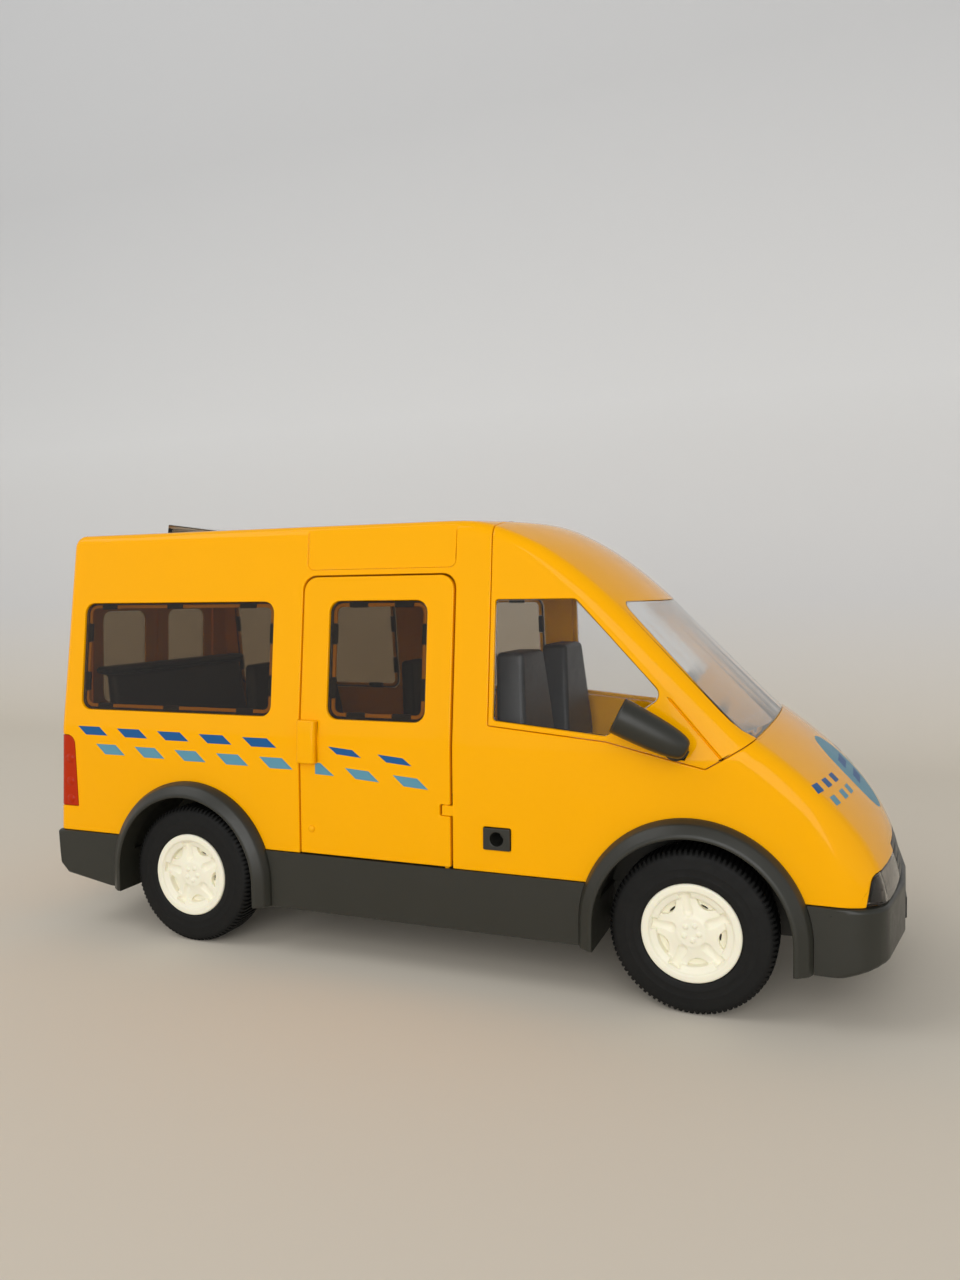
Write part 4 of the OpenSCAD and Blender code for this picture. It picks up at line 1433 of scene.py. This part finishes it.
@dataclass
class Lamps:
    """Headlights with reflectors, the grille between them, and the tail lights."""

    openings: Openings
    lens_depth: Point = (0.12, 1.0)
    bowl_depth: Point = (2.1, 3.3)
    mark_depth: Point = (1.2, 1.9)
    # Painted dark reflections on the chrome reflector, in black: a wedge on the side, and two patches on the
    # front, the outer one and the slot.
    wedge: Sequence[Point] = ((141.9, 37.9), (145.0, 37.9), (144.6, 44.0), (143.3, 44.3))
    bulb: Sequence[Point] = ((46.4, 42.3), (45.0, 40.1), (39.8, 40.6), (42.4, 42.9))
    slot: Sequence[Point] = ((36.5, 38.4), (33.5, 38.4), (26.6, 43.6), (28.6, 43.6))
    mark_y: Point = (40.0, 60.0)
    mark_x: Point = (130.0, 170.0)
    slats: int = 4
    slat_share: Point = (0.18, 0.62)
    slat_depth: Point = (0.1, 2.0)
    grille_depth: Point = (1.6, 3.4)
    grille_low: float = 37.3
    tail_depth: Point = (0.05, 2.6)
    bulges: Sequence[Point] = ((-146.4, 65.1), (-146.4, 56.1), (-146.4, 49.2))
    bulge_line: Sequence[Point] = (
        (0.0, -0.45), (0.9, -0.38), (1.5, -0.18), (1.75, 0.02), (2.0, 0.12), (2.2, 0.4), (0.0, 0.4))

    def lamp_part(self, name: str, depth: Point, side: Side, shrink: float) -> bpy.types.Object:
        """Cuts one layer of a headlight from the body's form."""
        shapes = self.openings
        tool = shapes.side_tool(shapes.lamp(-shrink), side, shapes.lamp_inner_y + shrink)
        return shapes.skin.portion(name, depth, tool)

    def headlights(self) -> None:
        """Builds the two headlights."""
        for side in Side:
            lens = self.lamp_part(f"headlight_{side.word}_lens", self.lens_depth, side, 0.0)
            soften(lens, 0.25)
            settle(lens, LENS, "body", f"headlight_{side.word}")
            bowl = self.lamp_part(f"headlight_{side.word}_reflector", self.bowl_depth, side, 0.3)
            shade(bowl, 20.0)
            settle(bowl, BRIGHT, "body")
            self.marks(side)

    def marks(self, side: Side) -> None:
        """Builds the painted dark reflections on one headlight's reflector: a wedge on its side and two
        patches on its front, the outer one and the slot.
        """
        name = f"headlight_{side.word}_marks"
        whole = self.openings.skin.layer("mark layer", *self.mark_depth)
        tools = [prism("wedge tool", self.wedge, Axis.Y, *side.span(*self.mark_y))]
        for outline in (self.bulb, self.slot):
            tools.append(prism("mark tool", [(side.value * y, z) for y, z in outline], Axis.X, *self.mark_x))
        parts = []
        for tool in tools:
            part = twin(whole, name)
            cut(part, tool, "INTERSECT")
            clean(part, CURVED_FLAT)
            soften(part, 0.2)
            parts.append(part)
        drop(whole)
        settle(join(parts, name), PLATE, "body")

    def grille(self) -> None:
        """Builds the grille's back and its slats."""
        shapes = self.openings
        tool = shapes.grille_tool(self.grille_low, shapes.grille_top_z)
        back = shapes.skin.portion("grille_form", self.grille_depth, tool)
        soften(back, 0.2)
        parts = [back]
        pitch = (shapes.grille_top_z - self.grille_low) / self.slats
        start, tall = self.slat_share
        for i in range(self.slats):
            low = self.grille_low + pitch * (i + start)
            slat = shapes.skin.portion("slat", self.slat_depth, shapes.grille_tool(low, low + pitch * tall))
            soften(slat, 0.35)
            parts.append(slat)
        settle(join(parts, "grille_form"), GREY, "body", "grille")

    def tail_lights(self) -> None:
        """Builds the two tail lights, each with three round bulges."""
        shapes = self.openings
        for side in Side:
            name = f"tail_light_{side.word}_form"
            tool = shapes.side_tool(shapes.tail(), side, shapes.tail_inner_y)
            piece = shapes.skin.portion(name, self.tail_depth, tool)
            soften(piece, 0.35)
            parts = [piece]
            for x, z in self.bulges:
                bulge = lathe("bulge", self.bulge_line, (x, 0.0, z), 28)
                shade(bulge, 45.0)
                parts.append(shapes.skin.onto_side(bulge, side))
            settle(join(parts, name), RED, "body", f"tail_light_{side.word}")

    def build(self) -> None:
        """Builds every lamp."""
        self.headlights()
        self.grille()
        self.tail_lights()


@dataclass
class Wheel:
    """One ivory rim and its tyre, modelled at the origin with the outer face towards -Y."""

    arms: int = 5
    bite_r: float = 3.6
    bite_at: float = 11.6
    star_r: float = 10.4
    voxel: float = 0.17
    smoothing: int = 3
    kept_share: float = 0.2
    teeth: int = 92
    tooth_half: float = 0.42
    face_y: float = 56.0
    first_arm: float = 100.0
    bite_depth: float = 3.7
    slit_to: float = 8.6
    slit_depth: float = 11.0
    bolt_at: float = 2.35
    bolt_depth: float = 0.75
    bolt_line: Sequence[Point] = ((0.0, 0.0), (0.5, 0.05), (0.75, 0.3), (0.8, 1.0), (0.0, 1.0))
    rim_line: Sequence[Point] = (
        (15.0, 0.5), (14.8, 0.15), (14.4, 0.0), (13.1, 0.0), (12.7, 0.15), (12.4, 0.7), (10.8, 1.2),
        (10.5, 1.4), (10.4, 2.3), (8.0, 2.1), (5.2, 1.6), (4.2, 1.25), (0.0, 1.2), (0.0, 6.5), (6.5, 6.5),
        (6.5, 4.6), (12.9, 4.4), (12.9, 14.0), (15.0, 14.0))
    tyre_line: Sequence[Point] = (
        (15.0, 0.8), (15.3, 0.4), (15.9, 0.15), (16.8, 0.12), (17.0, 0.0), (17.5, 0.0), (17.7, 0.12),
        (19.2, 0.12), (19.4, 0.02), (19.8, 0.02), (20.0, 0.14), (22.2, 0.32), (23.2, 0.5), (23.8, 0.95),
        (24.2, 1.7), (24.3, 2.6), (24.3, 11.4), (24.0, 12.8), (23.0, 14.0), (21.0, 14.8), (18.0, 15.0),
        (15.0, 14.0))
    tooth_line: Sequence[Point] = (
        (23.2, 0.48), (23.9, 0.8), (24.6, 1.42), (24.95, 2.0), (25.0, 2.6), (25.0, 11.4), (24.7, 12.4),
        (23.8, 13.5), (22.6, 13.9), (23.4, 11.4), (23.4, 2.6))

    def rim(self) -> bpy.types.Object:
        """Builds the rim with its star, troughs and bolt heads."""
        piece = lathe("rim", self.rim_line, (0, 0, 0), 96)
        bolts = []
        for i in range(self.arms):
            along = math.radians(self.first_arm + 360 * i / self.arms)
            between = along + math.pi / self.arms
            cut(piece, self.bite(between, self.star_r, self.bite_depth))
            cut(piece, self.bite(between, self.slit_to, self.slit_depth))
            cut(piece, self.trough(along))
            place = (self.bolt_at * math.cos(between), self.bolt_depth, self.bolt_at * math.sin(between))
            bolts.append(lathe("bolt", self.bolt_line, place, 16))
        # A cut can leave a slit open, through which the remeshing would hollow the rim out.
        with editing(piece):
            bpy.ops.mesh.remove_doubles(threshold=MERGE)
            bpy.ops.mesh.fill_holes(sides=0)
            faces_out()
        join([piece, *bolts], "rim")
        modify(piece, "REMESH", mode="VOXEL", voxel_size=self.voxel * MM)
        modify(piece, "SMOOTH", factor=0.5, iterations=self.smoothing)
        modify(piece, "DECIMATE", ratio=self.kept_share)
        shade(piece, 60.0)
        return piece

    def bite(self, angle: float, limit: float, depth: float) -> bpy.types.Object:
        """Makes the tool of the scallop between two arms.

        Args:
            angle: The scallop's direction from the hub, in radians.
            limit: How far from the hub it reaches, in millimetres.
            depth: How deep it goes behind the rim's face, in millimetres.

        Returns:
            The tool.
        """
        ahead, past = 3.0, 1.0
        place = (self.bite_at * math.cos(angle), -ahead, self.bite_at * math.sin(angle))
        tool = drum("bite", place, self.bite_r, Axis.Y, ahead + depth, 48)
        around = drum("limit", (0, -ahead - past, 0), limit, Axis.Y, ahead + 2 * past + depth, 96)
        cut(tool, around, "INTERSECT")
        return tool

    def trough(self, angle: float) -> bpy.types.Object:
        """Makes the tool of the rounded trough along one arm."""
        radius, start, end, lift, steps = 1.9, 6.4, 12.0, 0.75, 8
        outline = [(0.0, start - radius)]
        for i in range(1, steps + 1):
            turn = math.pi / 2 * i / steps
            outline.append((radius * math.sin(turn), start - radius * math.cos(turn)))
        outline.extend([(radius, end), (0.0, end)])
        tool = lathe("trough", outline, (0, 0, 0), 32)
        tool.data.transform(Matrix.Rotation(math.radians(90), 4, "X"))
        swing = Matrix.Rotation(math.pi / 2 - angle, 4, "Y")
        tool.data.transform(swing @ Matrix.Translation((0, lift * MM, 0)))
        return tool

    def tyre(self) -> bpy.types.Object:
        """Builds the tyre with its tread teeth."""
        piece = lathe("tyre", self.tyre_line, (0, 0, 0), 128)
        shade(piece, 40.0)
        outline = [(y, -r) for r, y in self.tooth_line]
        tooth = prism("tooth", outline, Axis.X, -self.tooth_half, self.tooth_half)
        with editing(tooth):
            bpy.ops.mesh.spin(steps=self.teeth, dupli=True, angle=2 * math.pi, center=(0, 0, 0),
                              axis=(0, 1, 0))
            bpy.ops.mesh.select_all(action="SELECT")
            bpy.ops.mesh.remove_doubles(threshold=MERGE)
        shade(tooth, 25.0)
        return join([piece, tooth], "tyre")

    def place(self, piece: bpy.types.Object, end: str, side: Side) -> bpy.types.Object:
        """Copies a wheel's piece to one corner of the vehicle.

        Args:
            piece: The piece at the origin.
            end: The axle, front or rear.
            side: The vehicle's side.

        Returns:
            The placed copy.
        """
        copy = twin(piece, f"{piece.name}_{end}_{side.word}_form")
        if side is Side.LEFT:
            copy.data.transform(Matrix.Rotation(math.pi, 4, "Z"))
        x = AXLES[1] if end == "front" else AXLES[0]
        copy.data.transform(Matrix.Translation(Vector((x, side.value * self.face_y, AXLE_Z)) * MM))
        return copy

    def build(self) -> None:
        """Builds the four wheels."""
        rim, tyre = self.rim(), self.tyre()
        for end in ("front", "rear"):
            for side in Side:
                body = f"{end}_wheels"
                settle(self.place(rim, end, side), IVORY, body, f"rim_{end}_{side.word}")
                settle(self.place(tyre, end, side), RUBBER, body, f"tyre_{end}_{side.word}")
        drop(rim, tyre)


@dataclass
class WellWalls:
    """Dark walls that close the wheel wells behind the tyres, below the floor."""

    y: Point = (31.1, 32.3)
    z: Point = (19.5, 31.6)
    half: float = 28.8
    bore_r: float = 2.4

    def build(self) -> None:
        """Builds the four walls, each with a bore for the axle."""
        parts = []
        for x in AXLES:
            for side in Side:
                low, high = side.span(*self.y)
                wall = block("wall", (x - self.half, low, self.z[0]), (x + self.half, high, self.z[1]))
                cut(wall, drum("bore", (x, low - 1.0, AXLE_Z), self.bore_r, Axis.Y, 4.0, 32))
                soften(wall, 0.3)
                parts.append(wall)
        settle(join(parts, "wheel_well_walls"), GREY, "body")


@dataclass(frozen=True)
class StripeRow:
    """A row of slanted stripes on a side: its first stripe, and the step to the next."""

    ink: Moulded
    first: Point
    count: int
    step: Point
    length: float
    height: float
    slant: float
    tilt: float

    def outlines(self) -> list[list[Point]]:
        """Draws the stripes.

        Returns:
            One outline for each stripe, of its place along X and its height.
        """
        shapes = []
        fall = self.tilt * self.length
        for i in range(self.count):
            x, top = self.first[0] + self.step[0] * i, self.first[1] + self.step[1] * i
            low_x, low = x + self.slant, top - self.height
            shapes.append([(low_x, low), (low_x + self.length, low + fall),
                           (x + self.length, top + fall), (x, top)])
        return shapes


@dataclass
class Prints:
    """The printed stripes on the sides and the bonnet, and a plain round badge."""

    skin: BodySkin
    thickness: Point = (-0.06, 0.1)
    bonnet_place: Point = (136.4, 67.2)
    bonnet_slope: float = 51.0
    badge_r: float = 15.0
    bar_up: Point = (-4.5, 2.0)
    bar_height: float = 3.2
    dash: Point = (4.6, 3.0)
    film_depth: Point = (-0.05, 0.1)
    over_film_depth: Point = (-0.09, 0.1)

    def row(self, name: str, outlines: Sequence[Sequence[Point]], ink: Finish, side: Side,
            body: str) -> None:
        """Prints stripes on a side.

        Args:
            name: The print's name.
            outlines: The stripes.
            ink: The finish.
            side: The side printed on.
            body: The body that carries them.
        """
        piece = join([prism(name, outline, Axis.Y, *self.thickness) for outline in outlines], name)
        self.skin.onto_side(piece, side)
        settle(piece, ink, body)

    def sides(self) -> None:
        """Prints both sides and the side door."""
        dark = StripeRow(DARK_BLUE, (-141.9, 77.9), 5, (18.9, -0.27), 10.4, 3.2, 3.9, 0.0)
        light = StripeRow(LIGHT_BLUE, (-133.2, 71.3), 5, (18.5, -0.3), 9.4, 3.8, 4.4, 0.0)
        for side in Side:
            self.row(f"dark_stripes_{side.word}", dark.outlines(), dark.ink, side, "body")
            self.row(f"light_stripes_{side.word}", light.outlines(), light.ink, side, "body")
        dark = StripeRow(DARK_BLUE, (-31.0, 75.1), 2, (19.0, -1.8), 9.4, 2.5, 3.3, -0.085)
        light = StripeRow(LIGHT_BLUE, (-24.5, 68.0), 2, (18.2, -1.4), 9.0, 3.5, 4.0, -0.07)
        corner = [(-36.3, 65.3), (-28.8, 65.0), (-34.2, 69.2), (-36.3, 69.2)]
        self.row("dark_door_stripes", dark.outlines(), dark.ink, Side.RIGHT, "side_door")
        self.row("light_door_stripes", [corner, *light.outlines()], light.ink, Side.RIGHT, "side_door")

    def on_bonnet(self, name: str, film: bpy.types.Object, outline: Sequence[Point], ink: Finish,
                  turn: float) -> None:
        """Prints a shape on the bonnet.

        Args:
            name: The print's name.
            film: A thin film over the whole body, which is copied and kept.
            outline: Points (across, up the bonnet) about the print's middle, in millimetres.
            ink: The finish.
            turn: Angle round the bonnet's upright axis of bow, in degrees, to the left.
        """
        piece = twin(film, name)
        tool = prism("print tool", outline, Axis.Z, -20.0, 20.0)
        steep = math.radians(self.bonnet_slope)
        lay = Matrix(((0, -math.cos(steep), math.sin(steep), 0), (1, 0, 0, 0),
                      (0, math.sin(steep), math.cos(steep), 0), (0, 0, 0, 1)))
        axis = Vector((self.skin.bow_x, 0, 0)) * MM
        reach = Vector((self.bonnet_place[0] - self.skin.bow_x, 0, self.bonnet_place[1])) * MM
        swing = Matrix.Translation(axis) @ Matrix.Rotation(math.radians(turn), 4, "Z")
        tool.data.transform(swing @ Matrix.Translation(reach) @ lay)
        with editing(tool):
            faces_out()
        cut(piece, tool, "INTERSECT")
        shade(piece)
        settle(piece, ink, "body")

    def bonnet(self) -> None:
        """Prints the bonnet's dashes and a round badge with two slanted bars."""
        film = self.skin.layer("film", *self.film_depth)
        over_film = self.skin.layer("over film", *self.over_film_depth)
        self.on_bonnet("badge", film, circle((0.0, 0.0), self.badge_r, 48), LIGHT_BLUE, 0.0)
        for k, up in enumerate(self.bar_up):
            bar = [(-8.0, up), (6.0, up), (8.0, up + self.bar_height), (-6.0, up + self.bar_height)]
            self.on_bonnet(f"badge_bar_{k + 1}", over_film, bar, DARK_BLUE, 0.0)
        wide, tall = self.dash[0] / 2, self.dash[1] / 2
        for side in Side:
            for word, up, ink, turns in (("dark", 3.2, DARK_BLUE, (9.3, 12.2, 15.1)),
                                         ("light", -2.2, LIGHT_BLUE, (8.0, 10.6, 13.8))):
                dash = oblong((-wide, up - tall), (wide, up + tall))
                for k, turn in enumerate(turns):
                    self.on_bonnet(f"{word}_dash_{side.word}_{k + 1}", film, dash, ink, side.value * turn)
        drop(film, over_film)

    def build(self) -> None:
        """Prints everything."""
        self.sides()
        self.bonnet()


@dataclass
class Stage:
    """The pale floor and backdrop, the soft lamps and the camera."""

    # Painted light and shade on the floor and backdrop: the colours by height stand in for the room's light,
    # darker towards the top.
    tones: Sequence[tuple[float, Colour]] = (
        (0.0, (0.74, 0.675, 0.57)), (120.0, (0.69, 0.68, 0.665)), (320.0, (0.75, 0.755, 0.755)),
        (640.0, (0.62, 0.625, 0.63)))
    eye: Place = (137.25, -337.2, 127.5)
    yaw: float = 21.5
    pitch: float = 2.88
    roll: float = -0.75
    focal_px: float = 950.0
    sky: Point = (0.86, 0.28)
    sky_colour: Colour = (0.97, 0.98, 1.0)
    frame_px: tuple[int, int] = (960, 1280)

    def camera(self) -> None:
        """Places the camera as the photograph was taken."""
        data = bpy.data.cameras.new("view")
        data.sensor_width = 36.0
        data.lens = self.focal_px / max(self.frame_px) * data.sensor_width
        data.clip_start = 0.01
        eye = bpy.data.objects.new("view", data)
        turn = Matrix.Rotation(math.radians(self.yaw), 4, "Z")
        turn = turn @ Matrix.Rotation(math.radians(90 - self.pitch), 4, "X")
        turn = turn @ Matrix.Rotation(math.radians(self.roll), 4, "Z")
        eye.matrix_world = Matrix.Translation(Vector(self.eye) * MM) @ turn
        bpy.context.scene.collection.objects.link(eye)
        bpy.context.scene.camera = eye

    def sweep(self) -> None:
        """Builds the floor and the backdrop as one curved sheet."""
        back_y, front_y, bend, top, half, gauge, steps = 620.0, -2600.0, 260.0, 2400.0, 2600.0, 20.0, 12
        line = [(front_y, 0.0), (back_y - bend, 0.0)]
        for i in range(1, steps + 1):
            angle = math.radians(90 * i / steps)
            line.append((back_y - bend + bend * math.sin(angle), bend - bend * math.cos(angle)))
        line.append((back_y, top))
        thick = [(y if k < 2 else y + gauge, z - gauge) for k, (y, z) in enumerate(line)]
        piece = prism("sweep", line + thick[::-1], Axis.X, -half, half)
        activate(piece)
        bpy.ops.object.shade_smooth_by_angle(angle=math.radians(30))
        dress(piece, Paper("pale paper", self.tones))

    def lamp(self, name: str, place: Place, aim: Place, size: float, power: float) -> None:
        """Adds one soft area lamp.

        Args:
            name: The lamp's name.
            place: Where it stands, in millimetres.
            aim: The point it faces, in millimetres.
            size: Its width, in millimetres.
            power: Its power in watts.
        """
        data = bpy.data.lights.new(name, "AREA")
        data.shape = "SQUARE"
        data.size = size * MM
        data.energy = power
        lamp = bpy.data.objects.new(name, data)
        lamp.location = Vector(place) * MM
        lamp.rotation_euler = (Vector(aim) - Vector(place)).to_track_quat("-Z", "Y").to_euler()
        bpy.context.scene.collection.objects.link(lamp)

    def light(self) -> None:
        """Adds the lamps and the room's light, which is dimmer overhead."""
        middle = (0, 0, 60)
        self.lamp("window", (-900, -700, 1300), middle, 900, 4.5)
        self.lamp("room", (350, -1500, 560), middle, 1200, 11)
        world = bpy.data.worlds.new("room")
        world.use_nodes = True
        nodes = Nodes(world.node_tree)
        glow = world.node_tree.nodes["Background"]
        glow.inputs["Color"].default_value = (*self.sky_colour, 1.0)
        aim = nodes.add("TexCoord")
        split = nodes.add("SeparateXYZ")
        share = nodes.add("MapRange", To_Min=self.sky[0], To_Max=self.sky[1])
        nodes.link(aim.outputs["Generated"], split.inputs[0])
        nodes.link(split.outputs["Z"], share.inputs["Value"])
        nodes.link(share.outputs[0], glow.inputs["Strength"])
        bpy.context.scene.world = world
        bpy.context.scene.view_settings.view_transform = "Standard"

    def build(self) -> None:
        """Builds the whole stage."""
        self.camera()
        self.sweep()
        self.light()


def build_copies() -> None:
    """Builds the pieces that keep the construction's form."""
    arches = [f"arch_{end}_{side.word}" for end in ("front", "rear") for side in Side]
    seats = ["front_seat_right", "front_seat_left", "single_seat", "double_seat", "rear_bench"]
    Copies(GREY, "body", ["chassis"], 0.4, 2).build()
    Copies(GREY, "body", ["sill_right", "sill_left"], 0.6, rounds=stands_free).build()
    Copies(GREY, "body", ["front_bumper", "rear_bumper"], 1.3, rounds=stands_free).build()
    Copies(GREY, "body", arches, 0.55, 3, 20.0, stands_proud).build()
    Copies(PLATE, "body", ["front_plate"], 0.4).build()
    Copies(GREY, "body", ["accessory_socket"], 0.35).build()
    Copies(SEAT_GREY, "body", seats, 1.8, 4).build()
    Copies(SEAT_GREY, "body", ["dashboard", "steering_column"], 0.6).build()
    Copies(SEAT_GREY, "steering_wheel", ["steering_wheel"], 0.3).build()
    Copies(STEEL, "front_wheels", ["front_axle"], 0.3).build()
    Copies(STEEL, "rear_wheels", ["rear_axle"], 0.3).build()
    Copies(TINTED, "roof_hatch", ["roof_hatch"], 0.4).build()
    for side in Side:
        word = side.word
        Copies(GREY, f"mirror_{word}", [f"mirror_{word}"], 0.9).build()
        Copies(YELLOW, f"rear_door_{word}", [f"rear_door_{word}"], 0.5).build()
        Copies(TINTED, f"rear_door_{word}", [f"rear_door_window_{word}"], 0.25).build()


def main() -> None:
    """Builds every piece."""
    logging.basicConfig(level=logging.INFO, format="%(message)s")
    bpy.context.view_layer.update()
    Stage().build()
    openings = Openings(BodySkin())
    Shell(openings).build()
    Cab(openings).build()
    SideDoor(openings).build()
    for side in Side:
        node = f"rear_window_{side.word}"
        TintedWindow(openings, openings.rear_window_x, side, "body", node, THREE_CLIPS).build()
    node = "middle_window_left"
    TintedWindow(openings, openings.middle_window_x, Side.LEFT, "body", node, TWO_CLIPS).build()
    Lamps(openings).build()
    Wheel().build()
    WellWalls().build()
    Prints(openings.skin).build()
    build_copies()


if __name__ == "__main__":
    main()
